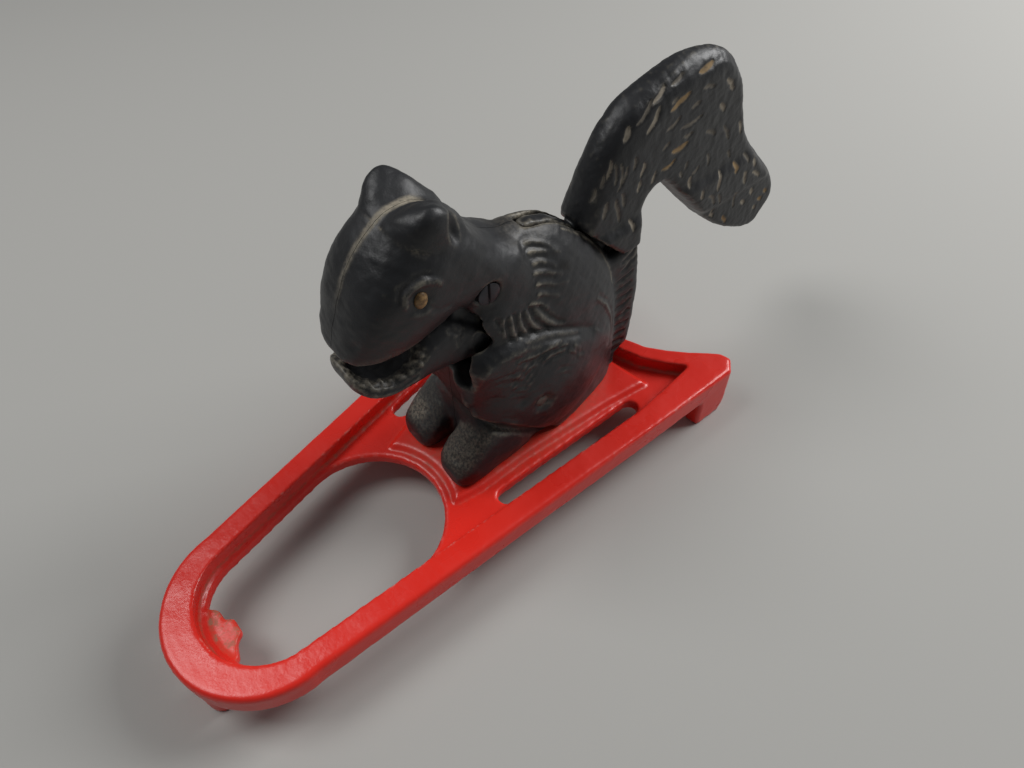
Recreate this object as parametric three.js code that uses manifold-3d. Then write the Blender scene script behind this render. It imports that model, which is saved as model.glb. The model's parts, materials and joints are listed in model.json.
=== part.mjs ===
// Lever nutcracker press: a cast-iron squirrel in two hollow halves on a pierced red base.
// The tail, the arm inside the back and the lower jaw are one casting, a lever that turns on the
// screw through the neck: lifting the tail drops the jaw, pressing it down cracks the nut.
// Lengths are in millimetres, angles in degrees. The base lies along +X with its round end at x = 0.

import * as THREE from 'three';
import { mergeVertices } from 'three/addons/utils/BufferGeometryUtils.js';
import Module from 'manifold-3d';

const wasm = await Module();
wasm.setup();

// Fits
const clearance = 0.3;
const overrun = 60;
const mergeDistance = 0.0001;

// Base casting
const baseLength = 225;
const frontHalfWidth = 33;
const frontReach = 32;
const rearHalfWidth = 59.5;
const rearBowDepth = 21;
const rimTop = 24;
const rimDepth = 10.5;
const rimWidth = 9.2;
const frontRimWidth = 11.6;
const rearRimWidth = 6;
const rimChamfer = 1.2;
const floorDrop = 6;
const floorThickness = 4.4;
const platformRise = 2;
const platformBorder = 4;
const platformRearX = 194;
const platformRearHalfWidth = 35;
const platformChamfer = 1.2;
const platformFrontAngle = 35;
const holeCentreX = 75.5;
const holeLedge = 1.8;
const slotFrontX = 117;
const slotFrontY = 29.5;
const slotLength = 63;
const slotRearY = 37.5;
const slotWidth = 6.6;
const frontFootX = 7;
const frontFootY = -6;
const frontFootRadius = 6;
const cornerFootLength = 21;
const cornerFootWidth = 9;
const cornerFootTaper = 8;
const flashReach = 9;
const flashHalfWidth = 13;
const flashThickness = 3;
const flashOffsetY = 3;

// Place of the figure on the base: it stands a little turned about its fixing screw
const figureX = 134.8;
const figureY = -2.1;
const figureTwist = 8;

// Figure: x is counted from the fixing screw towards the tail, z from the platform
const castingWall = 4.5;
const seamGap = 0.3;
const sectionSides = 28;
const torsoFrontX = -14;
const torsoLength = 72.5;
const torsoHeight = 92;
const torsoHalfWidth = 18.5;
const torsoSquareness = 2.3;
const headFrontX = -51;
const headLength = 62;
const headHeight = 41;
const headHalfWidth = 17.2;
const headSquareness = 2.7;
const lipHeight = 72;
const haunchX = 19;
const haunchHeight = 27;
const haunchSpread = 10.5;
const haunchLength = 33;
const haunchRise = 29;
const haunchBulge = 10.5;
const shoulderX = 0;
const shoulderHeight = 52;
const shoulderSpread = 8;
const shoulderLength = 17.5;
const shoulderRise = 32;
const shoulderBulge = 10;
const footFrontX = -26.5;
const footSpread = 11.8;
const footLength = 38;
const footHalfWidth = 9.2;
const footHeight = 20;
const footSquareness = 2.8;
const earX = -20;
const earSink = 5;
const earSpread = 10;
const earLength = 9;
const earThickness = 5;
const earRise = 11.5;
const earLean = 14;
const stubFrontX = 48;
const stubHeight = 60;
const stubLength = 21;
const stubHalfWidth = 8.6;
const stubRounding = 3;
const stubHeelShare = 0.63;

// Lever: pivot, jaw, arm and tail
const pivotX = -5.5;
const pivotRise = 10;
const leverTravel = 30;
const jawLength = 48;
const jawHeight = 26;
const jawHalfWidth = 12.4;
const jawDrop = 20.5;
const jawSquareness = 2.6;
const jawTurnShare = 0.8;
const knuckleTopAngle = -160;
const knuckleRearAngle = -80;
const troughX = -38;
const troughDrop = 4;
const troughLength = 10.4;
const troughHalfWidth = 10.6;
const troughDepth = 6.5;
const hubRadius = 9;
const hubHalfWidth = 8;
const armHalfWidth = 2.5;
const armTopAtHub = 4;
const armBendX = 24;
const armBendDrop = 19.5;
const armCrestReach = 23.4;
const armCrestDepth = 1;
const armCrestTopAngle = 16;
const armCrestFootAngle = -20;
const armBottomX = 43;
const armBottom = 58;
const tailRootX = 37.2;
const tailReach = 115;
const tailLow = 31.5;
const tailHeight = 89;
const tailHalfWidth = 8.4;
const tailTipHalfWidth = 5.6;
const tailRounding = 3;
const tailHeelLength = 9.5;
const tailNotchRise = 8.9;
const tailNotchLeanShare = 0.2;
const tailRootSpare = 7;
const seatFrontSetback = 2;
const seatFrontShare = 0.511;
const seatLength = 19.8;
const seatRearHeight = 60;

// Throat and back slot in the body, each clear of the lever by its running gap
const runningGap = 0.7;
const throatRearX = -5;
const throatDrop = 10;
const palateShare = 0.16;
const backSlotMarginAngle = 3;

// Fasteners
const screwShankRadius = 2.4;
const screwHeadRadius = 3.9;
const screwHeadHeight = 2.4;
const screwSlotWidth = 1;
const screwSlotDepth = 1.1;
const screwSpotFace = 14.2;
const screwEnd = 1.5;
const nutAcrossFlats = 8;
const nutHeight = 3;
const rivetX = 10;
const rivetHeight = 27;
const rivetRadius = 2.2;
const rivetHeadRadius = 3.4;
const rivetHeadHeight = 1.5;
const bossRadius = 6;
const baseScrewRadius = 2.5;
const baseScrewHeadRadius = 5;
const baseScrewHeadHeight = 2.8;
const washerRadius = 6.5;
const washerThickness = 1.2;
const trappedNutAcrossFlats = 9;
const trappedNutHeight = 4;
const trappedNutFloor = 5;

const platformTop = rimTop - floorDrop + platformRise;
const floorTop = rimTop - floorDrop;
const floorUnderside = floorTop - floorThickness;
const rimBottom = rimTop - rimDepth;
const slotRearX = slotFrontX + slotLength;
const earHeight = lipHeight + headHeight - earSink;
const pivotHeight = lipHeight + pivotRise;
const armBendHeight = pivotHeight - armBendDrop;
const jawBottom = lipHeight - jawDrop;
const troughHeight = lipHeight - troughDrop;
const throatRearHeight = lipHeight - throatDrop;
const seatRearX = tailRootX + seatLength;
const seatFrontX = tailRootX + seatFrontSetback;
const seatFrontHeight = tailLow + tailHeight * seatFrontShare;
const tailNotchX = seatRearX + tailHeelLength;
const radians = Math.PI / 180;

const enamelRed = new THREE.MeshStandardMaterial({ color: 0xc8201c, roughness: 0.35, metalness: 0 });
const ironBlack = new THREE.MeshStandardMaterial({ color: 0x26272b, roughness: 0.5, metalness: 0.3 });
const steel = new THREE.MeshStandardMaterial({ color: 0x4a4a4c, roughness: 0.45, metalness: 0.8 });

// Solids

// A closed geometry as a solid that can be joined and cut
function solidOf(geometry) {
  const bare = geometry.index ? geometry.toNonIndexed() : geometry.clone();
  bare.deleteAttribute('normal');
  bare.deleteAttribute('uv');
  const welded = mergeVertices(bare, mergeDistance);
  return new wasm.Manifold(new wasm.Mesh({
    numProp: 3,
    vertProperties: new Float32Array(welded.attributes.position.array),
    triVerts: new Uint32Array(welded.index.array),
  }));
}

function meshOf(name, solid, material) {
  const { vertProperties, triVerts } = solid.getMesh();
  const geometry = new THREE.BufferGeometry();
  geometry.setAttribute('position', new THREE.BufferAttribute(new Float32Array(vertProperties), 3));
  geometry.setIndex(new THREE.BufferAttribute(new Uint32Array(triVerts), 1));
  geometry.computeVertexNormals();
  const mesh = new THREE.Mesh(geometry, material);
  mesh.name = name;
  return mesh;
}

function joinAll(solids) {
  return solids.reduce((whole, solid) => whole.add(solid));
}

// A plan outline of points [x, y] raised from one height to another, its edges eased by a chamfer
function plate(points, from, to, chamfer = 0) {
  const shape = new THREE.Shape(points.map(([x, y]) => new THREE.Vector2(x, y)));
  const geometry = new THREE.ExtrudeGeometry(shape, {
    depth: to - from - 2 * chamfer,
    bevelEnabled: chamfer > 0,
    bevelThickness: chamfer,
    bevelSize: chamfer,
    bevelOffset: -chamfer,
    bevelSegments: 1,
    curveSegments: 12,
  });
  geometry.translate(0, 0, from + chamfer);
  return solidOf(geometry);
}

// A side outline of points [x, z] given a width across, its long edges rounded
function slab(points, from, to, rounding = 0) {
  const shape = new THREE.Shape(points.map(([x, z]) => new THREE.Vector2(x, z)));
  const geometry = new THREE.ExtrudeGeometry(shape, {
    depth: to - from - 2 * rounding,
    bevelEnabled: rounding > 0,
    bevelThickness: rounding,
    bevelSize: rounding,
    bevelOffset: -rounding,
    bevelSegments: 3,
  });
  geometry.translate(0, 0, rounding - to);
  geometry.rotateX(Math.PI / 2);
  return solidOf(geometry);
}

function blockBetween(low, high) {
  const size = low.map((value, axis) => high[axis] - value);
  const geometry = new THREE.BoxGeometry(...size);
  geometry.translate(...low.map((value, axis) => (value + high[axis]) / 2));
  return solidOf(geometry);
}

function ellipsoid(centre, radii, lean = 0, around = 24, down = 16) {
  const geometry = new THREE.SphereGeometry(1, around, down);
  geometry.scale(...radii);
  geometry.rotateX(lean * radians);
  geometry.translate(...centre);
  return solidOf(geometry);
}

// A round bar across the figure, from one y to another
function crossBar(radius, x, z, from, to, sides = 24) {
  const geometry = new THREE.CylinderGeometry(radius, radius, to - from, sides);
  geometry.translate(x, (from + to) / 2, z);
  return solidOf(geometry);
}

// An upright round bar
function post(radius, x, y, from, to, sides = 24) {
  const geometry = new THREE.CylinderGeometry(radius, radius, to - from, sides);
  geometry.rotateX(Math.PI / 2);
  geometry.translate(x, y, (from + to) / 2);
  return solidOf(geometry);
}

// A smooth body through upright sections, each with its x, lowest and highest z and half width
function sectionLoft(sections, steps, squareness) {
  const heights = sections.map(({ x, low, high }) => new THREE.Vector3(x, low, high));
  const halves = sections.map(({ x, half }) => new THREE.Vector3(x, half, 0));
  const course = new THREE.CatmullRomCurve3(heights);
  const widths = new THREE.CatmullRomCurve3(halves);
  const positions = [];
  const indices = [];
  for (let step = 0; step <= steps; step += 1) {
    const place = course.getPoint(step / steps);
    const half = widths.getPoint(step / steps).y;
    for (let side = 0; side < sectionSides; side += 1) {
      const angle = (2 * Math.PI * side) / sectionSides;
      const across = Math.sign(Math.cos(angle)) * Math.abs(Math.cos(angle)) ** (2 / squareness);
      const up = Math.sign(Math.sin(angle)) * Math.abs(Math.sin(angle)) ** (2 / squareness);
      positions.push(place.x, half * across, (place.y + place.z) / 2 + ((place.z - place.y) / 2) * up);
    }
  }
  for (let step = 0; step < steps; step += 1) {
    for (let side = 0; side < sectionSides; side += 1) {
      const here = step * sectionSides + side;
      const beside = step * sectionSides + ((side + 1) % sectionSides);
      indices.push(here, beside, here + sectionSides);
      indices.push(beside, beside + sectionSides, here + sectionSides);
    }
  }
  for (let side = 1; side < sectionSides - 1; side += 1) {
    const last = steps * sectionSides;
    indices.push(0, side + 1, side);
    indices.push(last, last + side, last + side + 1);
  }
  const geometry = new THREE.BufferGeometry();
  geometry.setAttribute('position', new THREE.Float32BufferAttribute(positions, 3));
  geometry.setIndex(indices);
  return solidOf(geometry);
}

// Outlines in plan

function sideHalfWidth(x) {
  const along = (x - frontReach) / (baseLength - frontReach);
  return frontHalfWidth + (rearHalfWidth - frontHalfWidth) * along;
}

// Half of the base's outer edge, from the round end to the middle of the bowed rear edge
function halfBaseEdge() {
  const points = [];
  const frontSteps = 12;
  for (let step = 0; step < frontSteps; step += 1) {
    const angle = (step / frontSteps) * (Math.PI / 2);
    points.push([frontReach * (1 - Math.cos(angle)), frontHalfWidth * Math.sin(angle)]);
  }
  const sideShares = [0, 0.25, 0.5, 0.75, 0.97];
  for (const share of sideShares) {
    const x = frontReach + (baseLength - frontReach) * share;
    points.push([x, sideHalfWidth(x)]);
  }
  const rearShares = [
    [0, 0.92], [0.02, 0.84], [0.16, 0.77], [0.42, 0.66], [0.66, 0.54], [0.86, 0.41], [0.97, 0.25], [1, 0.1],
  ];
  for (const [bow, across] of rearShares) {
    points.push([baseLength - bow * rearBowDepth, rearHalfWidth * across]);
  }
  return points;
}

// How far a point lies from the nearest side of a closed edge
function distanceToEdge(point, edge) {
  const nearest = edge.map((corner, index) => {
    const from = new THREE.Vector3(...corner, 0);
    const to = new THREE.Vector3(...edge[(index + 1) % edge.length], 0);
    return new THREE.Line3(from, to).closestPointToPoint(point, true, new THREE.Vector3()).distanceTo(point);
  });
  return Math.min(...nearest);
}

// A closed edge moved inwards along its normals; points that a tight corner crowds out are dropped
function insetEdge(points, insetAt) {
  const moved = points.map(([x, y], index) => {
    const [px, py] = points[(index + points.length - 1) % points.length];
    const [nx, ny] = points[(index + 1) % points.length];
    const before = new THREE.Vector2(py - y, x - px).normalize();
    const after = new THREE.Vector2(y - ny, nx - x).normalize();
    const mean = before.clone().add(after).normalize();
    const reach = insetAt(x, y);
    const side = reach / mean.dot(after);
    return { reach, x: x + mean.x * side, y: y + mean.y * side };
  });
  const keptShare = 0.97;
  return moved
    .filter(({ reach, x, y }) => distanceToEdge(new THREE.Vector3(x, y, 0), points) > reach * keptShare)
    .map(({ x, y }) => [x, y]);
}

// The far half mirrored to the near side, so that the edge runs round once, counterclockwise from above
function wholeEdge(farHalf) {
  const nearHalf = farHalf.filter(([, y]) => y > 0).map(([x, y]) => [x, -y]);
  return [...nearHalf, ...farHalf.reverse()];
}

const outerEdge = wholeEdge(halfBaseEdge());

// The rim is widest at the round end and narrows towards the middle of the rear edge
function rimWidthAt(x, y) {
  if (x > baseLength - rearBowDepth - clearance) {
    return rearRimWidth + (rimWidth - rearRimWidth) * (Math.abs(y) / rearHalfWidth);
  }
  return rimWidth + (frontRimWidth - rimWidth) * Math.max(0, 1 - x / frontReach);
}

const innerEdge = insetEdge(outerEdge, rimWidthAt);

// The oval hole keeps a narrow ledge inside the rim and closes with a round end
function holeEdge() {
  const ledgeEdge = insetEdge(outerEdge, (x, y) => rimWidthAt(x, y) + holeLedge);
  const front = ledgeEdge.filter(([x]) => x < holeCentreX && x > 0);
  const turnAt = ([x, y]) => Math.atan2(y, holeCentreX - x);
  front.sort((first, second) => turnAt(first) - turnAt(second));
  const radius = sideHalfWidth(holeCentreX) - rimWidth - holeLedge;
  const round = [];
  const roundSteps = 16;
  for (let step = 0; step <= roundSteps; step += 1) {
    const angle = Math.PI / 2 - (Math.PI * step) / roundSteps;
    round.push([holeCentreX + radius * Math.cos(angle), radius * Math.sin(angle)]);
  }
  return { points: [...front, ...round], radius };
}

function platformEdge(holeRadius) {
  const frontRadius = holeRadius + platformBorder;
  const arc = [];
  const arcSteps = 8;
  for (let step = 0; step <= arcSteps; step += 1) {
    const angle = (2 * (step / arcSteps) - 1) * platformFrontAngle * radians;
    arc.push([holeCentreX + frontRadius * Math.cos(angle), frontRadius * Math.sin(angle)]);
  }
  const cornerX = arc[arcSteps][0];
  const sideShares = [[0.12, 0.61], [0.36, 0.67], [0.6, 0.78], [0.78, 0.86], [1, 1]];
  const farSide = sideShares.map(([along, across]) => [
    cornerX + (platformRearX - cornerX) * along,
    platformRearHalfWidth * across,
  ]);
  const nearSide = farSide.map(([x, y]) => [x, -y]).reverse();
  return [...nearSide, ...arc, ...farSide];
}

// A slot with round ends between two points in plan
function slotCut(side) {
  const from = new THREE.Vector2(slotFrontX, side * slotFrontY);
  const to = new THREE.Vector2(slotRearX, side * slotRearY);
  const heading = Math.atan2(to.y - from.y, to.x - from.x);
  const points = [];
  const endSteps = 6;
  for (const [end, turn] of [[to, -Math.PI / 2], [from, Math.PI / 2]]) {
    for (let step = 0; step <= endSteps; step += 1) {
      const angle = heading + turn + (Math.PI * step) / endSteps;
      points.push([end.x + (slotWidth / 2) * Math.cos(angle), end.y + (slotWidth / 2) * Math.sin(angle)]);
    }
  }
  return plate(points, -overrun, overrun);
}

// A rear corner leg: it follows the rim's side and tapers towards the table at its rear
function cornerFoot(side) {
  const cornerX = baseLength;
  const points = [
    [cornerX - cornerFootLength, 0],
    [cornerX - cornerFootTaper, 0],
    [cornerX, rimBottom + rimChamfer],
    [cornerX - cornerFootLength, rimBottom + rimChamfer],
  ];
  const low = side < 0 ? -rearHalfWidth : rearHalfWidth - cornerFootWidth;
  return slab(points, low, low + cornerFootWidth);
}

// A web of casting flash left inside the front of the hole
function flashWeb() {
  const lobeShares = [
    [0, -1], [0.35, -0.8], [0.6, -0.45], [0.95, -0.3], [1, 0.1], [0.75, 0.3], [0.8, 0.6], [0.4, 1],
  ];
  const rootX = frontRimWidth + holeLedge;
  const lobe = lobeShares.map(([reach, across]) => [
    rootX + flashReach * reach,
    flashOffsetY + flashHalfWidth * across,
  ]);
  const root = [1, -1].map((side) => [rootX - holeLedge, flashOffsetY + flashHalfWidth * side]);
  return plate([...lobe, ...root], floorUnderside, floorUnderside + flashThickness);
}

function baseCasting() {
  const hole = holeEdge();
  const body = plate(outerEdge, rimBottom, rimTop, rimChamfer)
    .subtract(plate(innerEdge, floorTop, rimTop + overrun))
    .add(plate(platformEdge(hole.radius), floorUnderside, platformTop, platformChamfer))
    .subtract(plate(hole.points, -overrun, overrun))
    .subtract(plate(insetEdge(outerEdge, rimWidthAt), -overrun, floorUnderside));
  const frontFoot = post(frontFootRadius, frontFootX, frontFootY, 0, rimBottom + rimChamfer);
  const feet = joinAll([cornerFoot(-1), cornerFoot(1), frontFoot])
    .intersect(plate(outerEdge, -overrun, rimTop));
  return joinAll([body, feet, flashWeb()])
    .subtract(slotCut(-1))
    .subtract(slotCut(1))
    .subtract(post(baseScrewRadius + clearance, figureX, figureY, -overrun, overrun));
}

// Figure

// Sections from shares [along, low, high, half width] of a form's place, drawn in by an inset
function sectionsFrom(shares, { frontX, floor, length, height, halfWidth }, inset = 0) {
  return shares.map(([along, low, high, half]) => ({
    x: frontX + inset + (length - 2 * inset) * along,
    low: floor + height * low + inset,
    high: floor + height * high - inset,
    half: halfWidth * half - Math.min(inset, (halfWidth * half) / 2),
  }));
}

// Torso: chest, back ridge falling to the tail, and belly standing on the platform
const torsoShares = [
  [0, -0.05, 0.5, 0.4], [0.03, -0.15, 0.7, 0.6], [0.08, -0.25, 0.88, 0.78], [0.15, -0.3, 0.95, 0.9],
  [0.25, -0.33, 0.99, 0.94], [0.37, -0.33, 0.985, 0.99], [0.48, -0.33, 0.97, 1],
  [0.585, -0.33, 0.94, 0.98], [0.69, -0.33, 0.875, 0.92], [0.795, -0.32, 0.8, 0.84],
  [0.89, -0.3, 0.715, 0.73], [0.955, -0.25, 0.63, 0.57], [1, -0.1, 0.5, 0.35],
];

// Head: nose, brow, crown and the neck that runs into the back
const headShares = [
  [0, 0.04, 0.17, 0.3], [0.03, -0.02, 0.31, 0.54], [0.1, -0.03, 0.56, 0.78], [0.185, -0.02, 0.77, 0.91],
  [0.29, 0, 0.925, 0.99], [0.41, 0.05, 1, 1], [0.53, 0.1, 0.99, 0.96], [0.645, 0.08, 0.88, 0.92],
  [0.74, 0, 0.715, 0.89], [0.855, -0.2, 0.54, 0.89], [1, -0.3, 0.43, 0.82],
];

// Lower jaw: lip, low sides of the trough, cheek block and rounded knuckle
const jawShares = [
  [0, 0.53, 0.73, 0.36], [0.03, 0.4, 0.7, 0.68], [0.1, 0.31, 0.61, 0.92], [0.2, 0.26, 0.53, 1],
  [0.33, 0.23, 0.53, 1], [0.44, 0.18, 0.7, 1], [0.54, 0.11, 0.89, 0.98], [0.67, 0.06, 0.95, 0.97],
  [0.8, 0.01, 0.85, 0.97], [0.91, 0.07, 0.66, 0.92], [1, 0.24, 0.44, 0.68],
];

// Foot: a long blunt toe that rises to the instep
const footShares = [
  [0, 0.05, 0.35, 0.5], [0.03, -0.05, 0.46, 0.74], [0.1, -0.1, 0.6, 0.93], [0.22, -0.1, 0.84, 1],
  [0.36, -0.1, 1.12, 1], [0.5, -0.1, 1.28, 0.98], [0.75, -0.1, 1.2, 0.9], [1, -0.05, 0.9, 0.6],
];

// Tail: front edge, top, rear bay, tip, underside and the arch of the notch above the root
const tailShares = [
  [0.07, 0.7], [0.125, 0.82], [0.215, 0.92], [0.39, 0.995], [0.555, 0.965], [0.65, 0.84],
  [0.69, 0.7], [0.74, 0.56], [0.84, 0.4], [0.97, 0.225], [1, 0.1], [0.945, 0], [0.84, 0],
  [0.65, 0.145], [0.46, 0.4], [0.345, 0.545],
];

function torso(inset = 0) {
  const place = {
    frontX: torsoFrontX, floor: 0, length: torsoLength, height: torsoHeight, halfWidth: torsoHalfWidth,
  };
  return sectionLoft(sectionsFrom(torsoShares, place, inset), 22, torsoSquareness);
}

function haunch(side) {
  return ellipsoid([haunchX, side * haunchSpread, haunchHeight], [haunchLength, haunchBulge, haunchRise]);
}

// The hollow inside both haunches, one wall in from them
function haunchHollow() {
  const half = haunchSpread + haunchBulge - castingWall;
  return ellipsoid([haunchX, 0, haunchHeight], [haunchLength - castingWall, half, haunchRise - castingWall]);
}

function shoulder(side) {
  return ellipsoid(
    [shoulderX, side * shoulderSpread, shoulderHeight],
    [shoulderLength, shoulderBulge, shoulderRise],
  );
}

function head() {
  const place = {
    frontX: headFrontX, floor: lipHeight, length: headLength, height: headHeight, halfWidth: headHalfWidth,
  };
  return sectionLoft(sectionsFrom(headShares, place), 22, headSquareness);
}

function ear(side) {
  const centre = [earX, side * earSpread, earHeight];
  return ellipsoid(centre, [earLength, earThickness, earRise], -side * earLean, 20, 12);
}

function foot(side) {
  const place = {
    frontX: footFrontX, floor: 0, length: footLength, height: footHeight, halfWidth: footHalfWidth,
  };
  return sectionLoft(sectionsFrom(footShares, place), 12, footSquareness)
    .translate([0, side * footSpread, 0]);
}

// The low part of the tail, cast on the body behind the haunches
function tailStub() {
  const heelX = stubFrontX + stubLength * stubHeelShare;
  const overRim = rimTop - platformTop + rimChamfer;
  const rearShares = [[0.93, 0.15], [1, 0.35], [1.01, 0.65], [0.89, 1]];
  const rear = rearShares.map(([along, up]) => [stubFrontX + stubLength * along, stubHeight * up]);
  const points = [
    [stubFrontX, -stubRounding], [heelX, -stubRounding], [heelX, overRim], ...rear, [stubFrontX, stubHeight],
  ];
  return slab(points, -stubHalfWidth, stubHalfWidth, stubRounding);
}

function turnAboutPivot([x, z], degrees) {
  const angle = degrees * radians;
  const dx = x - pivotX;
  const dz = z - pivotHeight;
  return [
    pivotX + dx * Math.cos(angle) - dz * Math.sin(angle),
    pivotHeight + dx * Math.sin(angle) + dz * Math.cos(angle),
  ];
}

// The sloping seat on the rump that the tail's root comes down on, flat behind where the stub ends
function seatLine(gap) {
  return [
    [seatFrontX, seatFrontHeight + gap],
    [seatRearX, seatRearHeight + gap],
    [tailRootX + tailReach, seatRearHeight + gap],
  ];
}

// Space above the seat, cleared from the body under the tail's root
function seatCut() {
  const frontX = seatFrontX - runningGap;
  const points = [
    [frontX, seatFrontHeight],
    ...seatLine(0),
    [tailRootX + tailReach, seatFrontHeight + overrun],
    [frontX, seatFrontHeight + overrun],
  ];
  return slab(points, -tailHalfWidth - runningGap, tailHalfWidth + runningGap);
}

// The open throat seen from the side: palate, the neck's edge round the knuckle, and the chest's shoulder
function throatOutline() {
  const palate = lipHeight + headHeight * palateShare;
  const shoulderTop = throatRearHeight - 2 * runningGap;
  return [
    [headFrontX - overrun, shoulderTop],
    [throatRearX - castingWall, shoulderTop],
    [throatRearX, throatRearHeight],
    [throatRearX - castingWall / 2, throatRearHeight + castingWall],
    [pivotX - castingWall, pivotHeight - hubRadius],
    [pivotX - hubRadius, palate],
    [headFrontX - overrun, lipHeight],
  ];
}

// The jaw's swept space between the side walls: a sector about the pivot and the bay under the open jaw
function knuckleCut() {
  const lowestX = headFrontX + jawLength * jawTurnShare;
  const reach = Math.hypot(lowestX - pivotX, jawBottom - pivotHeight) + runningGap;
  const half = jawHalfWidth + runningGap;
  const points = [[pivotX, pivotHeight]];
  const turn = knuckleRearAngle + leverTravel - knuckleTopAngle;
  const arcSteps = 12;
  for (let step = 0; step <= arcSteps; step += 1) {
    const angle = (knuckleTopAngle + (turn * step) / arcSteps) * radians;
    points.push([pivotX + reach * Math.cos(angle), pivotHeight + reach * Math.sin(angle)]);
  }
  const bellyShares = [[0.1, 0.25], [0.25, 0.17], [0.38, 0.16], [0.54, 0.1], [0.67, 0.05], [0.8, 0]];
  const openBelly = bellyShares.map(([along, up]) => turnAboutPivot(
    [headFrontX + jawLength * along, jawBottom + jawHeight * up - runningGap * 2], leverTravel,
  ));
  const bay = [...openBelly, [throatRearX, pivotHeight], [torsoFrontX - castingWall, pivotHeight]];
  return slab(points, -half, half)
    .add(slab(bay, -half, half))
    .subtract(crossBar(hubRadius, pivotX, pivotHeight, -overrun, overrun));
}

// The front face of the arm's crest, an arc about the pivot, from one angle to another
function crestFace(reach, from, to) {
  const arcSteps = 6;
  const face = [];
  for (let step = 0; step <= arcSteps; step += 1) {
    const angle = THREE.MathUtils.lerp(from, to, step / arcSteps) * radians;
    face.push([pivotX + reach * Math.cos(angle), pivotHeight + reach * Math.sin(angle)]);
  }
  return face;
}

// The slot along the back that lets the arm rise with the tail, its crest first
function backSlot() {
  const half = armHalfWidth + runningGap;
  const raisedTop = armCrestTopAngle + leverTravel + backSlotMarginAngle;
  const raisedFoot = armCrestFootAngle + leverTravel + backSlotMarginAngle;
  const face = crestFace(armCrestReach - runningGap, raisedTop, raisedFoot);
  const points = [
    [pivotX, pivotHeight - hubRadius],
    [armBendX, armBendHeight - castingWall],
    [armBottomX, armBottom - castingWall],
    [seatRearX - castingWall, armBottom - castingWall],
    [seatRearX - clearance, armBottom],
    [seatRearX - clearance, seatRearHeight + overrun],
    [face[0][0], face[0][1] + overrun],
    ...face,
    [pivotX, pivotHeight + armTopAtHub],
  ];
  return slab(points, -half, half);
}

function hubCut() {
  const half = hubHalfWidth + clearance;
  return crossBar(hubRadius + runningGap, pivotX, pivotHeight, -half, half);
}

// Bosses inside the shell, which carry the rivet and trap the nut of the fixing screw
function bosses() {
  const reach = haunchSpread + haunchBulge - castingWall / 2;
  const rivetBoss = crossBar(bossRadius, rivetX, rivetHeight, -reach, reach);
  const bossTop = trappedNutFloor + trappedNutHeight + castingWall;
  const nutBoss = post(trappedNutAcrossFlats / 2 + castingWall, 0, 0, 0, bossTop);
  return rivetBoss.add(nutBoss);
}

function squareNut(across, low, high) {
  return blockBetween([-across / 2, -across / 2, low], [across / 2, across / 2, high]);
}

function bodyShell() {
  const sideForms = [-1, 1].flatMap((side) => [haunch(side), shoulder(side), foot(side), ear(side)]);
  const outside = joinAll([torso(), head(), tailStub(), ...sideForms]);
  const inside = torso(castingWall).add(haunchHollow())
    .subtract(blockBetween([-overrun, -overrun, -overrun], [overrun * 2, overrun, castingWall]));
  const hollow = inside.subtract(bosses());
  const far = overrun * 2;
  return outside
    .subtract(blockBetween([-far, -far, -far], [far, far, 0]))
    .subtract(hollow)
    .subtract(slab(throatOutline(), -overrun, overrun))
    .subtract(knuckleCut())
    .subtract(hubCut())
    .subtract(backSlot())
    .subtract(seatCut())
    .subtract(fastenerCuts());
}

function fastenerCuts() {
  const pivotBore = crossBar(screwShankRadius + clearance, pivotX, pivotHeight, -overrun, overrun);
  const pocketFloor = screwHeadHeight - screwSpotFace;
  const headPocket = crossBar(
    screwHeadRadius + clearance, pivotX, pivotHeight, pocketFloor - overrun, pocketFloor,
  );
  const nutFace = crossBar(
    nutAcrossFlats / 2 + castingWall / 2, pivotX, pivotHeight, screwSpotFace, screwSpotFace + overrun,
  );
  const rivetBore = crossBar(rivetRadius + clearance, rivetX, rivetHeight, -overrun, overrun);
  const nutTop = trappedNutFloor + trappedNutHeight;
  const fixingBore = post(baseScrewRadius + clearance, 0, 0, -overrun, nutTop + 2 * clearance);
  const nutPocket = squareNut(
    trappedNutAcrossFlats + 2 * clearance, trappedNutFloor - clearance, nutTop + clearance,
  );
  return joinAll([pivotBore, headPocket, nutFace, rivetBore, fixingBore, nutPocket]);
}

function bodyHalf(shell, side) {
  const far = overrun * 3;
  const low = side < 0 ? [-far, -far, -far] : [-far, seamGap / 2, -far];
  const high = side < 0 ? [far, -seamGap / 2, far] : [far, far, far];
  return shell.intersect(blockBetween(low, high));
}

// Lever

function tailOutline() {
  const edge = tailShares.map(([along, up]) => [tailRootX + tailReach * along, tailLow + tailHeight * up]);
  edge.push(
    [tailNotchX + tailNotchRise * tailNotchLeanShare, seatRearHeight + 2 * tailNotchRise],
    [tailNotchX, seatRearHeight + tailNotchRise],
  );
  const spline = new THREE.SplineCurve(edge.map(([x, z]) => new THREE.Vector2(x, z)));
  const splineSteps = 54;
  const points = spline.getPoints(splineSteps).map(({ x, y }) => [x, y]);
  const [front, rear] = seatLine(clearance);
  const along = new THREE.Vector2(points[0][0] - front[0], points[0][1] - front[1]).setLength(tailRootSpare);
  const outline = [
    [front[0] - along.x, front[1] - along.y],
    ...points,
    [tailNotchX, rear[1] - tailRootSpare],
    [rear[0], rear[1] - tailRootSpare],
  ];
  return outline.reverse();
}

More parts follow.
